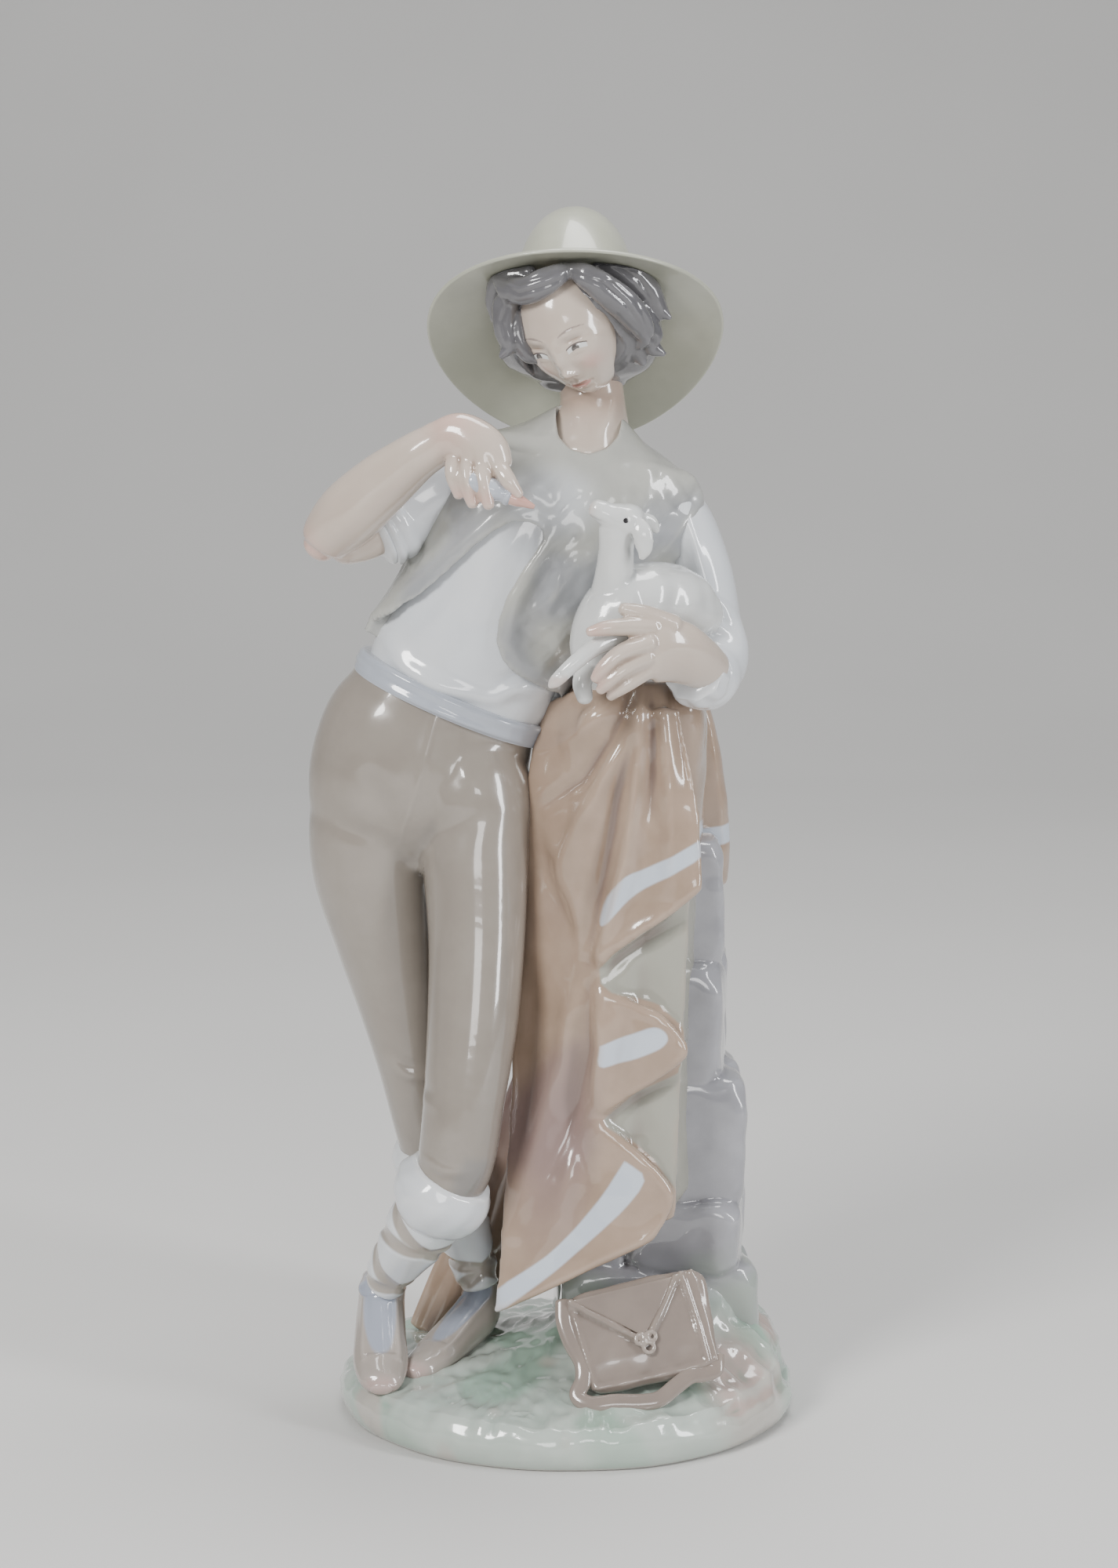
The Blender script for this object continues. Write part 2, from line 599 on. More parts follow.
# %% Blanket, front fall
FALL = [(9, 6, 14, 30, 31), (9.5, 5, 45, 27, 29.5), (11, 5, 90, 24, 28.5),
        (12.5, 5, 140, 23.5, 28), (15, 5, 180, 23, 27.5), (16.5, 4, 199, 21, 25),
        (17.5, 4, 206.5, 15.5, 20)]
fall = skin("fall", tube(FALL, 120, 120, upright=True, dome=0.12))
flaps = [
    leaf([(-7, 0, 199), (-11, -5, 180), (-13, -4, 150), (-15, -6, 120), (-16, -12, 95), (-17.5, -20, 70),
          (-19, -25, 50), (-20.5, -28, 35)],
         [(8, -11, 207), (7, -18, 180), (6, -20, 150), (7.5, -21.5, 120), (9, -23.5, 92),
          (20, -26.5, 81), (29, -27.5, 69.5), (24, -28.5, 57)], 2.3, count=70),
    leaf([(4, -17, 200), (3, -18, 165), (7.4, -22.5, 131)],
         [(30, -20.5, 202), (35, -24, 176), (36.2, -26.5, 153.8)], 2.3),
    leaf([(4, -20, 127.5), (11.8, -23.5, 124.4), (24.4, -25.5, 120), (32.4, -26, 110.6)],
         [(4, -20, 92), (9.7, -24, 90.8), (20.9, -26, 98.6), (32.2, -26, 107.2)], 2.1),
    leaf([(6, -16.5, 156), (6, -17, 110), (4, -17, 60)],
         [(33.5, -20.5, 156), (31.6, -21.5, 112), (29.4, -22.5, 60)], 2.4),
]
HEM = [(-40, 20), (-21, 32), (-12.5, 35.5), (9, 49), (22, 55), (30.5, 62), (80, 92),
       (80, -20), (-40, -20)]
far = 400.0
behind = [(-far, -far), (far, -far), (far, far), (-far, far)]
front_fall = fused("blanket_front", [fall, *(skin("flap", rings) for rings in flaps)], 0.65, 12,
                   carve=[slab(HEM, -60, 80), slab(behind, 12, 120)])
PLEATS = [
    (3.2, 2.6, [(20.4, 209.3), (18.4, 189.8), (16.7, 173.8), (15.1, 159.9), (11.8, 147.5), (8.6, 136.2)]),
    (1.5, 2, [(23.3, 209), (24.9, 203), (26.8, 184.5), (27.7, 165.8), (27.6, 152)]),
    (2.6, 3, [(17, 199), (13.7, 193), (9.6, 183.4), (5.4, 173.8), (0.5, 162.6), (-4, 152)]),
    (2, 3, [(14.5, 206), (10.1, 203), (6.5, 198.2), (2.8, 194), (-3, 189)]),
    (2.2, 2.2, [(26, 210), (31.4, 206.4), (34.1, 198), (35.2, 186)]),
    (-2.4, 2.2, [(17, 207.3), (11.7, 193.6), (3.3, 181.9), (-8.2, 171.8)]),
    (-2.8, 2.6, [(16.3, 192.2), (11.7, 168), (7.6, 149.2), (5, 132.5)]),
    (-2, 3, [(-9.2, 167.6), (-6.1, 154.2), (-0.8, 140.1), (2, 124)]),
    (-1.4, 1.6, [(21.8, 206.4), (22.7, 190.8), (22, 173.8)]),
    (-1.6, 1.5, [(28.3, 205.6), (31, 189.4), (32.7, 178.1)]),
    (2.2, 3.4, [(4, 132), (2, 123), (-0.8, 106.3), (-5.8, 89.4), (-10.4, 72.7), (-14, 58)]),
    (-2.4, 2.4, [(5.6, 131.9), (5, 108.5), (1, 89.4), (-3, 74)]),
    (1.7, 2.6, [(8.2, 134), (8.6, 109), (7.6, 84)]),
    (-2.6, 4.5, [(-10, 125.4), (-12.2, 100.6), (-15.1, 78.5)]),
    (0.9, 1.5, [(36, 155.5), (30.1, 148.9), (19.1, 142.4), (11.8, 136.6), (8.6, 132)]),
    (-1.1, 1.8, [(32, 145), (22, 139.2), (13, 132.4), (9, 128.5)]),
    (0.9, 1.4, [(9, 124.6), (15, 122), (24.4, 118.6), (30.6, 112.6), (31.4, 108.6), (26, 102.4),
                (18, 97.9), (9.7, 92.4)]),
    (-1.1, 1.8, [(30, 101), (20, 95.4), (11, 88.8)]),
    (0.9, 1.4, [(10, 87), (16.1, 81.4), (23.2, 75.6), (28, 69), (28.2, 64), (21.9, 57.4),
                (9.1, 51.4), (-2.3, 44.8), (-12.3, 38.2), (-19, 35.4)]),
    (-0.9, 4, [(19, 134), (22, 126), (24, 120)]),
    (-0.9, 3.4, [(18, 94), (20, 86), (19, 82)]),
    (-0.9, 2.6, [(16, 118), (14, 108), (13, 98)]),
    (1.2, 3, [(-2, 86), (0, 74), (-3, 62), (-9, 50)]),
    (-1, 2.4, [(3.4, 84), (5.5, 72), (4, 62)]),
]
press_lines(front_fall, PLEATS, lambda places: 0.12 * lumps(places, 12, 6))
move_to(front_fall, calmed(front_fall, 4)[0])
STRIPES = (
    [(36.8, 167.8), (28.4, 163), (20.1, 158.7), (14.9, 156.6), (10.7, 151.2), (8.6, 144.2), (9.7, 143.4),
     (14.9, 149.1), (20.1, 153.4), (27.9, 157.7), (36.8, 163.4)],
    [(8.6, 110.3), (16, 113.2), (22.4, 115.7), (25.6, 115), (26.9, 112.8), (25.6, 110.6), (22.4, 108.8),
     (16.1, 106.3), (8.6, 104.5)],
    [(15.4, 78.5), (9.1, 68.5), (2, 59.7), (-6.5, 51.5), (-20.2, 41.3), (-20.3, 35.4), (-12.3, 41.1),
     (-3.7, 47.8), (6.3, 56.7), (15.5, 65.6), (20.8, 73.7)],
)
LININGS = (
    [(8.4, 131), (11.8, 135.1), (19.1, 141), (30.1, 147.5), (36.5, 153), (36, 118), (31.5, 114.4),
     (24.4, 120.9), (11.8, 124.6), (8.8, 127)],
    [(9.8, 89.4), (18.9, 96.3), (28.8, 101.2), (34, 104), (34, 68), (29.8, 68.6), (23.2, 77.9),
     (16.2, 83.7), (10.5, 87.4)],
)


def rounded(outline):
    """The same closed outline with its corners eased by the smooth curve through them."""
    return smooth([*outline, outline[0]], 31)[:-1].tolist()


places, normals = points_of(front_fall)
ahead = np.where(normals[:, 1] < 0.35, 0, OFF)
right_side = np.where((places[:, 0] > 27.5) & (places[:, 2] < 152) & (places[:, 1] > -22.5), 1, OFF)
settle(front_fall, "blanket_peach", "blanket_front_fall",
       stripe=np.max([outlined(places, rounded(s)) for s in STRIPES], axis=0) + ahead,
       lining=np.maximum(np.max([outlined(places, s) for s in LININGS], axis=0) + ahead, right_side),
       dusk=ramp(places[:, 2], 170, 80) * np.clip(0.65 + lumps(places, 40, 13) * 0.5, 0, 1)
       * ramp(places[:, 2], 35, 85) * ramp(places[:, 0], 14, 2))

# %% [markdown]
# Behind the pillar the other end of the blanket hangs in a short fall, and a corner of the cloth lies
# on the ground between the pillar and the feet.

# %% Blanket, back fall and tail
BACK = [(22, 17, 146, 22.5, 20), (21.5, 17, 160, 23.5, 21.5), (20, 17, 180, 23, 21.5),
        (18.5, 16, 197, 20.5, 19.5), (18, 15, 203, 15, 14)]
back_fall = skin("fall", tube(BACK, 120, 70, upright=True, dome=0.12, relief=lambda turn, along:
                              0.9 * (1 - along ** 2) * np.cos(9 * turn + 2 * np.sin(turn)) - 0.7))
left_part = [(-50, 0), (6, 0), (6, 300), (-50, 300)]
back_fall = fused("blanket_back", [back_fall], 0.7, 4,
                  carve=[slab(behind, -120, 12.3), slab(left_part, -60, 90)])
press(back_fall, lambda places, normals: 0.15 * lumps(places, 10, 14))
places, _ = points_of(back_fall)
band = 2.6 - np.abs(places[:, 2] - 157.5 - 0.12 * (places[:, 0] - 20))
settle(back_fall, "blanket_peach", "blanket_back_fall", stripe=band, dusk=ramp(places[:, 2], 170, 130) * 0.5)

TAIL = [(-35.5, 22, 12, 10, 4.5), (-29, 22, 26, 11, 5), (-21, 22, 44, 11.5, 5.5),
        (-14, 21.5, 66, 10, 6.4), (-8.5, 19, 88, 7.6, 6.4), (-4.5, 16.5, 108, 5, 5),
        (-1.5, 14, 124, 1.6, 2)]
tail = skin("blanket_tail_cloth", tube(TAIL, 140, 120, dome=0.4, relief=lambda turn, along:
                                       0.8 * (1 - along ** 2) * np.cos(6 * turn + 1.0 + 2 * along) - 0.4))
places, _ = points_of(tail)
settle(tail, "blanket_peach", "blanket_tail", dusk=ramp(places[:, 2], 30, 90))

# %% [markdown]
# ## Trousers
# Tight taupe trousers, the weight on the rear leg and the front knee pushed forward. Two legs run into
# the hips, and the fusing makes the crotch. A raised seam runs down from the waist, and soft creases
# pull from the crotch towards each hip.

# %% Trousers
SEAT = [(-39, 3, 158, 20, 12), (-40, 3, 167, 29, 18.5), (-40, 3, 177, 31, 20.5),
        (-38.5, 3, 187, 30, 20.5), (-35, 2.5, 195, 27.5, 19), (-31.5, 2, 202, 25.5, 17.5)]
RIGHT_LEG = [(-51, 4, 184, 10, 12), (-54, 4.5, 171, 16, 16.5), (-54.5, 4, 154, 16, 16.5),
             (-50.5, 4, 134, 14, 15), (-46.5, 4, 116, 12, 13), (-43, 4, 98, 10, 11),
             (-40, 6, 82, 9.2, 10), (-37.5, 8, 70, 8.8, 9.5)]
LEFT_LEG = [(-28.5, 0, 190, 13.5, 14), (-26, -2, 176, 16.4, 17.6), (-25.4, -5, 163, 15.2, 17),
            (-25, -8, 154, 14.4, 15.8), (-24.8, -13, 136, 13.2, 14), (-25.8, -19, 116, 12.4, 13),
            (-28, -24, 96, 11.2, 12), (-30, -26, 80, 10.6, 11), (-32.5, -24, 70, 9.6, 10)]
legs = [skin("leg", tube(rows, 72, 100)) for rows in (SEAT, RIGHT_LEG, LEFT_LEG)]
trousers = fused("trousers_cloth", legs, 0.75, 26)
CLOTH_CREASES = [
    (0.4, 0.7, [(-35.2, 199), (-40.8, 178.6), (-44.9, 166.8), (-45, 163)]),
    (-0.9, 4, [(-56.4, 184.7), (-50, 174), (-45.4, 165.7)]),
    (-1.1, 4.5, [(-22.1, 173.1), (-33, 168), (-44.4, 164.7)]),
    (-0.5, 2.5, [(-60, 167), (-52, 166), (-46, 162)]),
    (0.4, 2, [(-30, 192), (-27, 183), (-20, 176)]),
    (-0.5, 1.6, [(-49, 104), (-44, 100), (-38, 99)]),
    (0.5, 1.6, [(-50, 100.5), (-44, 96.5), (-37, 95.5)]),
    (-0.45, 1.4, [(-38, 78), (-34, 75.5), (-29, 74.8)]),
    (0.4, 1.3, [(-39, 81), (-34, 78.4), (-26, 78)]),
]
press_lines(trousers, CLOTH_CREASES)
places, normals = points_of(trousers)
patch = outlined(places, [(-27, 81.5), (-21, 80), (-22.6, 69), (-31.8, 68.3), (-30.6, 76.1)])
settle(trousers, "trouser_taupe", "trousers", patch=np.where(normals[:, 1] < 0, patch, OFF))

# %% [markdown]
# ## Stockings and shoes
# Below the knees a stocking top is folded over as a thick white cuff. The shins are bound with crossed
# bands over white cloth, and the shoes are soft, with a bluish tongue. The bands follow the section's
# turn and the way along the shin, so they are written in those two numbers.

# %% Cuffs, leggings and shoes
SHIN_SIDES, SHIN_ROWS, SHOE_SIDES, SHOE_ROWS = 96, 90, 96, 80


def crossed(turn, along):
    """How near a place is to a band: the bands wind both ways round the shin. Over 0 is on a band."""
    first = 0.5 - np.abs((along * 2.6 - turn / (2 * math.pi)) % 1 - 0.5)
    second = 0.5 - np.abs((along * 2.6 + turn / (2 * math.pi) + 0.35) % 1 - 0.5)
    return (0.13 - np.minimum(first, second)) * 8


def legging(name, stations, node):
    """A shin: its bands lie in shallow grooves, and are painted where `crossed` is over 0."""
    def relief(turn, along):
        bands = -0.75 * np.clip(crossed(turn, along) + 0.3, 0, 1)
        return bands + 0.35 + 0.12 * np.cos(5 * turn + 9 * along)
    piece = skin(name, tube(stations, SHIN_SIDES, SHIN_ROWS, dome=0.3, relief=relief))
    bands = crossed(circle(SHIN_SIDES)[None, :], along_rings(SHIN_ROWS))
    settle(piece, "linen_white", node, band=np.append(bands.ravel(), [-1, -1]))


RIGHT_SHIN = [(-37, 8.5, 72, 8.6, 9.2), (-35.5, 9, 67, 9.2, 9.8), (-32, 11, 55, 9, 9.5),
              (-28, 12, 42, 7, 7.5), (-25, 11, 31, 5.6, 6)]
LEFT_SHIN = [(-33, -24, 70, 9, 9.2), (-35.5, -23, 65, 9.4, 9.4), (-40, -19, 57.5, 9.6, 9.4),
             (-45.5, -13, 48, 7.6, 7.6), (-50.5, -6, 38, 6.2, 6.4)]
legging("right_legging_cloth", RIGHT_SHIN, "right_legging")
legging("left_legging_cloth", LEFT_SHIN, "left_legging")

LEFT_CUFF = [(-31.5, -25, 73.5, 11.6, 11.8), (-33.6, -24, 69.5, 13.2, 13.2), (-36, -22.5, 65.5, 12.6, 12.4),
             (-37.8, -21, 62.5, 10.6, 10.6)]
RIGHT_CUFF = [(-38.2, 7, 74, 10.4, 11), (-37.4, 8, 70.5, 11.6, 12.2), (-36.2, 8.6, 67, 11.2, 11.8),
              (-35, 9.2, 64, 9.8, 10.6)]


def rolled(turn, along):
    """A soft roll, fullest in its middle, with a few shallow puckers round it."""
    puckers = 0.22 * np.cos(4 * turn + 1.3) + 0.10 * np.cos(11 * turn + 5 * along)
    return 0.5 * np.sin(math.pi * along) + puckers


for side, rows in (("left", LEFT_CUFF), ("right", RIGHT_CUFF)):
    cuff = skin(f"{side}_cuff_roll", tube(rows, 96, 40, dome=0.16, relief=rolled))
    settle(cuff, "linen_white", f"{side}_knee_cuff")

RIGHT_SHOE = [(-24, 14, 28, 5.8, 6.2), (-25.5, 9, 23, 6.2, 7), (-30, 1, 20, 6.2, 6.4),
              (-36, -9, 17.5, 6.6, 4.6), (-41, -17, 16, 5.2, 3.4), (-43, -20.5, 15.5, 2.6, 2)]
LEFT_SHOE = [(-51.5, -2, 37, 6, 6.6), (-52, -4, 30, 6.6, 8), (-52, -12, 23.5, 7.2, 6.6),
             (-51.5, -20, 18.5, 7.6, 4.8), (-51, -27, 15.5, 6, 3.6), (-51, -30, 14.5, 3.2, 2)]


def shoe(name, stations, node):
    """A shoe: the upper's edge stands proud round the tongue, which lies a little lower."""
    def relief(turn, along):
        beside = np.abs(turned_off(turn, math.pi / 2))
        edge = bell(beside - 0.72, 0.16) * (along < 0.66) * 0.4
        return edge - 0.3 * (beside < 0.6) * (along < 0.62) - 0.05
    piece = skin(name, tube(stations, SHOE_SIDES, SHOE_ROWS, front=(0, 0, 1), relief=relief))
    beside = np.abs(turned_off(circle(SHOE_SIDES), math.pi / 2))
    along = along_rings(SHOE_ROWS)
    tongue = 2 - 2 * (beside[None, :] / 0.72) ** 2 - 2 * (np.clip(along - 0.2, 0, 1) / 0.42) ** 2
    toe = np.broadcast_to(np.clip((along - 0.78) * 4, 0, 1), tongue.shape)
    settle(piece, "shoe_grey", node, tongue=np.append(tongue.ravel(), [-1, -1]),
           toe=np.append(toe.ravel(), [0, 1]))


shoe("right_shoe_leather", RIGHT_SHOE, "right_shoe")
shoe("left_shoe_leather", LEFT_SHOE, "left_shoe")

# %% [markdown]
# ## Shirt, sash and fleece
# The shirt is full and blouses over the sash. The fleece hangs open: its front edges roll outwards, and
# its wool is a soft lumpy relief. The opening is carved from a full loft, and the smoothing after the
# remesh rounds the carved edges like worn clay.

# %% Shirt and sash
TORSO = [(-31.5, 2, 200, 24.5, 17), (-28.2, 1.5, 208, 25.5, 18.2), (-24.5, 0.5, 216, 25, 18.2),
         (-18, 0, 228, 24.5, 17.9), (-10, 0, 242, 26, 17.9), (-4, 1, 253, 26, 17.2),
         (0.5, 2, 262, 21, 15.6)]
shirt = skin("shirt_cloth", tube(TORSO, 160, 130, dome=0.1, relief=lambda turn, along:
                                 0.5 * bell(along - 0.1, 0.12) * (1 + 0.3 * np.cos(6 * turn + 1))))
SHIRT_FOLDS = [
    (1.5, 2.6, [(-50.2, 221.1), (-43.3, 211.3), (-33.5, 206.4), (-20, 203.2)]),
    (-1.2, 1.8, [(-47, 211), (-38, 205), (-30, 202.8), (-21, 200.8)]),
    (1.3, 2.4, [(-21, 203.2), (-14, 206.1), (-5.7, 204.6)]),
    (-0.9, 1.6, [(-18, 209), (-12, 210.6), (-6, 209)]),
    (-0.7, 2.4, [(-30, 236), (-38, 226), (-46, 219)]),
    (0.5, 3, [(-14, 247), (-22, 238), (-26, 226), (-24, 214)]),
    (-0.5, 2.6, [(-8, 252), (-14, 240), (-18, 226)]),
]
press_lines(shirt, SHIRT_FOLDS, lambda places: -0.1)
places, _ = points_of(shirt)
settle(shirt, "linen_white", "shirt_torso", mist=ramp(places[:, 2], 246, 260) * 0.7)

lean = np.array([0.40, 0, 0.92]) / math.hypot(0.40, 0.92)
middle = np.array([-31.5, 2, 202]) - lean
SASH = [(*(middle + lean * shift), 27.5 + puff, 19.5 + puff) for shift, puff in
        ((-3.1, -0.3), (-2.2, 0.3), (-0.8, 0.15), (0.4, 0.35), (2, 0.35), (3.1, -0.2))]


def wound(turn, along):
    """The sash is wound twice: two wandering grooves round it, and a slow swell."""
    grooves = 0.14 * np.cos(2 * math.pi * (2 * along + 0.4 * np.sin(turn)))
    return 0.16 * np.cos(3 * turn + 5 * along) + grooves - 0.12


sash = skin("sash_cloth", tube(SASH, 200, 40, dome=0.03, relief=wound))
settle(sash, "sash_blue", "sash")

# %% Fleece
VEST = [(-28.2, 1.5, 208, 27.5, 19), (-24.5, 0.5, 216, 26, 18.2), (-18, 0, 228, 26, 17.7),
        (-9, 0, 242, 29.5, 17.5), (-0.5, 1, 254, 33.5, 16.5), (3.2, 2, 261.5, 33, 15),
        (4.6, 3.2, 268, 24, 12.8), (5.6, 4.2, 273, 13.6, 10.8), (6.6, 5.8, 277, 7.6, 7.6)]
THICK = 2.4       # added to both half sizes of the vest's form
GROWN = [(x, y, z, w + THICK, d + THICK) for x, y, z, w, d in VEST]
OPENING = [(-10.4, 251.4), (-7.2, 249.6), (-6.6, 247), (-9.4, 242.6), (-13, 237.2), (-16.4, 231.2),
           (-18.4, 225.4), (-19, 219.4), (-17.4, 214.4), (-14, 210.6), (-9.2, 207.4), (-2.3, 203.4),
           (-2.3, 180), (-74, 180), (-74, 219), (-54.1, 222.1), (-46.4, 226.6), (-39, 231.6),
           (-31.6, 238.1), (-25, 245), (-19.4, 249.2), (-14.6, 251.4)]
NECKLINE = [(-3, 292), (-3, 277), (-2.4, 273.2), (0.6, 270.2), (5.4, 269), (10.2, 270.2),
            (13.2, 273.2), (14.2, 277), (14.2, 292)]
fleece = fused("fleece_wool", [skin("vest", tube(GROWN, 150, 110, dome=0.05))], 0.62, 8,
               carve=[slab(OPENING, -45, -3), slab(NECKLINE, -45, 1)])
LIPS = [
    (1, 2, [(-12, 256), (-20.5, 252.3), (-33.5, 240.5), (-47.5, 228.5), (-56, 224)]),
    (0.9, 2.4, [(3, 254), (-5.6, 244), (-14, 231.5), (-16.6, 219.5), (-12.4, 212.6), (-1, 205.6)]),
    (-0.9, 3, [(1, 247), (-7, 236), (-10, 222), (-4, 214)]),
    (-0.8, 3.2, [(-20, 259), (-34, 247), (-47, 235)]),
    (1.5, 2.2, [(33, 263), (37, 259.5), (37.5, 255)]),
    (-1, 1.8, [(35, 255.5), (31.5, 255), (29, 253.5)]),
    (1.1, 1.8, [(37, 256), (32, 250.5), (26, 243.5), (21, 237.5)]),
    (-0.9, 3.2, [(31, 260), (26, 252), (20, 245), (16, 238)]),
    (-0.7, 3.6, [(6, 262), (2, 254), (-4, 244), (-10, 230)]),
    (1.2, 2.2, [(-46, 226), (-52, 224), (-56, 223.4)]),
]


def woolly(places, normals):
    """Rolled lips along the opening, and wool that is calm at the neck and full lower down."""
    full = np.clip((272 - places[:, 2]) / 14, 0.15, 1)
    wool = 0.24 * lumps(places, 7.5, 41) + 0.09 * lumps(places, 3.6, 42)
    calm = np.min([to_line(places[:, [0, 2]], LIPS[k][2])[0] for k in (0, 1)], axis=0)
    return creases(places, normals, LIPS) + full * wool * np.clip(calm / 4, 0.2, 1) - 0.15


press(fleece, woolly)
places, _ = points_of(fleece)
settle(fleece, "fleece_grey", "fleece_vest",
       shade=np.clip(lumps(places, 24, 43) * 0.8 + 0.55, 0, 1) * ramp(places[:, 2], 268, 248),
       mist=np.clip(1.5 - 1.5 * np.hypot((places[:, 0] + 5) / 17, (places[:, 2] - 256) / 13), 0, 1)
       * (places[:, 1] < 0))

# %% [markdown]
# ## Sleeves
# The right sleeve is rolled up above the elbow, in two fat turns. The left sleeve is long and full: it
# hangs in a bag at the elbow, breaks into short folds there, and is gathered at the wrist.

# %% Sleeves
RIGHT_SLEEVE = [(-22, 3, 265, 12, 11.5), (-32, 2, 261, 12, 12), (-42, -1, 254, 11.2, 11),
                (-49, -4, 249, 11.4, 11.2), (-52, -5.2, 247.2, 9.8, 9.6)]


def rolled_up(turn, along):
    """Two and a half fat rolls at the end, and soft folds towards the shoulder."""
    rolls = 0.75 * np.abs(np.sin(math.pi * 2.5 * np.clip((along - 0.62) / 0.36, 0, 1)))
    return (rolls + 0.35 * np.cos(4 * turn + 14 * along) * np.clip(1 - along * 1.4, 0, 1)
            + 0.12 * np.cos(9 * turn + 4 * along) - 0.4)


right_sleeve = skin("right_sleeve_cloth", tube(RIGHT_SLEEVE, 110, 110, dome=0.2, relief=rolled_up))
settle(right_sleeve, "linen_white", "right_sleeve")

LEFT_SLEEVE = [(19, 3.5, 258, 9, 9.5), (28.5, 2.5, 250, 9.6, 10.4), (35, 0.5, 238, 8.6, 9.6),
               (38.2, -4, 223, 8.8, 9.4), (38.8, -11, 212.5, 9.2, 9), (36, -18, 209.5, 9, 8.8),
               (33.4, -24, 212.5, 8.2, 8.4)]


def full_sleeve(turn, along):
    """Slanting folds that gather at the elbow, a long ridge down the upper arm, and puckers at the cuff."""
    elbow, cuff = bell(along - 0.60, 0.14), bell(along - 0.95, 0.07)
    ridge = bell(turned_off(turn, 1.9), 0.35) * np.sin(math.pi * np.clip(along * 1.7, 0, 1))
    return (0.65 * elbow * np.cos(22 * along + 2.0 * np.sin(turn + 0.5)) + 0.45 * ridge
            + 0.35 * cuff * np.cos(9 * turn) - 0.5 * bell(along - 0.86, 0.03) - 0.1)


left_sleeve = skin("left_sleeve_cloth", tube(LEFT_SLEEVE, 130, 170, dome=0.15, relief=full_sleeve))
SLEEVE_FOLDS = [
    (0.9, 1.3, [(34.8, 230.8), (39.7, 229.4), (44.2, 226)]),
    (-0.8, 1.1, [(34.5, 228), (39.5, 226.6), (43.5, 223)]),
    (0.7, 1.2, [(35.5, 225.2), (42.5, 221.3)]),
    (0.6, 1.4, [(31.2, 254.7), (36.9, 233.6)]),
    (-0.7, 2, [(28, 246), (31, 238), (33, 231)]),
]
press_lines(left_sleeve, SLEEVE_FOLDS)
settle(left_sleeve, "linen_white", "left_sleeve")

# %% [markdown]
# ## Bare arm and hands
# A hand is a flat palm with five tapering fingers. The bare forearm and its hand are one form here,
# because the wrist has no seam. The fingertips, the knuckles and the elbow are touched with rose.

# %% Arm and hands
def hand_forms(branches):
    """A closed loft for the palm, or wrist and palm, and one for each finger."""
    return [skin("branch", tube(rows, 32, 40, dome=0.8)) for rows in branches]


FOREARM = [(-66.4, -11.7, 244, 4.6, 4.8), (-64.5, -12.5, 246.5, 7, 7.2), (-58, -16, 253.5, 8.8, 8.8),
           (-49, -21, 262, 8.2, 8), (-40, -25.5, 269.5, 6.6, 6.4), (-34, -28, 273.4, 5.8, 5.2)]
UPPER_ARM = [(-45, -2, 251.5, 7, 7), (-54, -7, 247.5, 7.6, 7.6), (-60, -10, 246, 7.2, 7.2)]
RIGHT_HAND = [
    [(-36.5, -27.2, 272.2, 5.7, 5), (-33, -28.6, 274.2, 5.7, 4.8), (-28, -30.5, 275, 6.8, 4.8),
     (-22.5, -32.8, 271.6, 7.2, 4.6), (-19.8, -34.4, 267.4, 6, 3.8)],
    [(-29, -31.2, 271.6, 2.6, 2.6), (-29.8, -34.4, 266.4, 2.35, 2.35), (-28.4, -35.4, 260.8, 1.5, 1.5)],
    [(-26, -32.6, 271, 2.8, 2.8), (-26.4, -36.4, 265, 2.5, 2.5), (-24.8, -37.6, 258.8, 1.6, 1.6)],
    [(-22.6, -33.6, 270.4, 2.8, 2.8), (-22.2, -37.6, 264.6, 2.5, 2.5), (-20.6, -38.8, 258.6, 1.6, 1.6)],
    [(-19, -34.4, 269, 2.7, 2.7), (-15.8, -38, 265.2, 2.3, 2.3), (-12.8, -38.8, 261.4, 1.4, 1.4)],
    [(-22.8, -30.8, 268.5, 2.5, 2.5), (-18.6, -31.4, 264.4, 2.2, 2.2), (-15.4, -32.8, 261, 1.5, 1.5)],
]
arm_forms = [skin("arm", tube(rows, 64, 70, dome=0.7)) for rows in (FOREARM, UPPER_ARM)]
right_arm = fused("right_arm_and_hand", [*arm_forms, *hand_forms(RIGHT_HAND)], 0.42, 6)
HAND_LINES = [
    (-0.4, 0.7, [(-28.4, 272), (-28.2, 267), (-26.8, 261.5)]),
    (-0.4, 0.7, [(-24.8, 272), (-24.4, 266), (-22.8, 260)]),
    (-0.4, 0.7, [(-21, 271), (-19.4, 266.5), (-17.4, 262)]),
    (0.5, 2.4, [(-63, 247), (-52, 260), (-41, 270)]),
]
press_lines(right_arm, HAND_LINES)
places, _ = points_of(right_arm)
elbow = bell(np.linalg.norm(places - (-66, -12, 246), axis=1), 7) * 0.9
knuckles = bell(np.linalg.norm(places - (-30, -30, 278), axis=1), 8) * 0.6
fingertips = ramp(places[:, 2], 266, 261) * ramp(places[:, 0], -34, -31) * 0.5
settle(right_arm, "skin_bisque", "right_forearm", "right_hand",
       blush=np.clip(elbow + knuckles + fingertips, 0, 1))

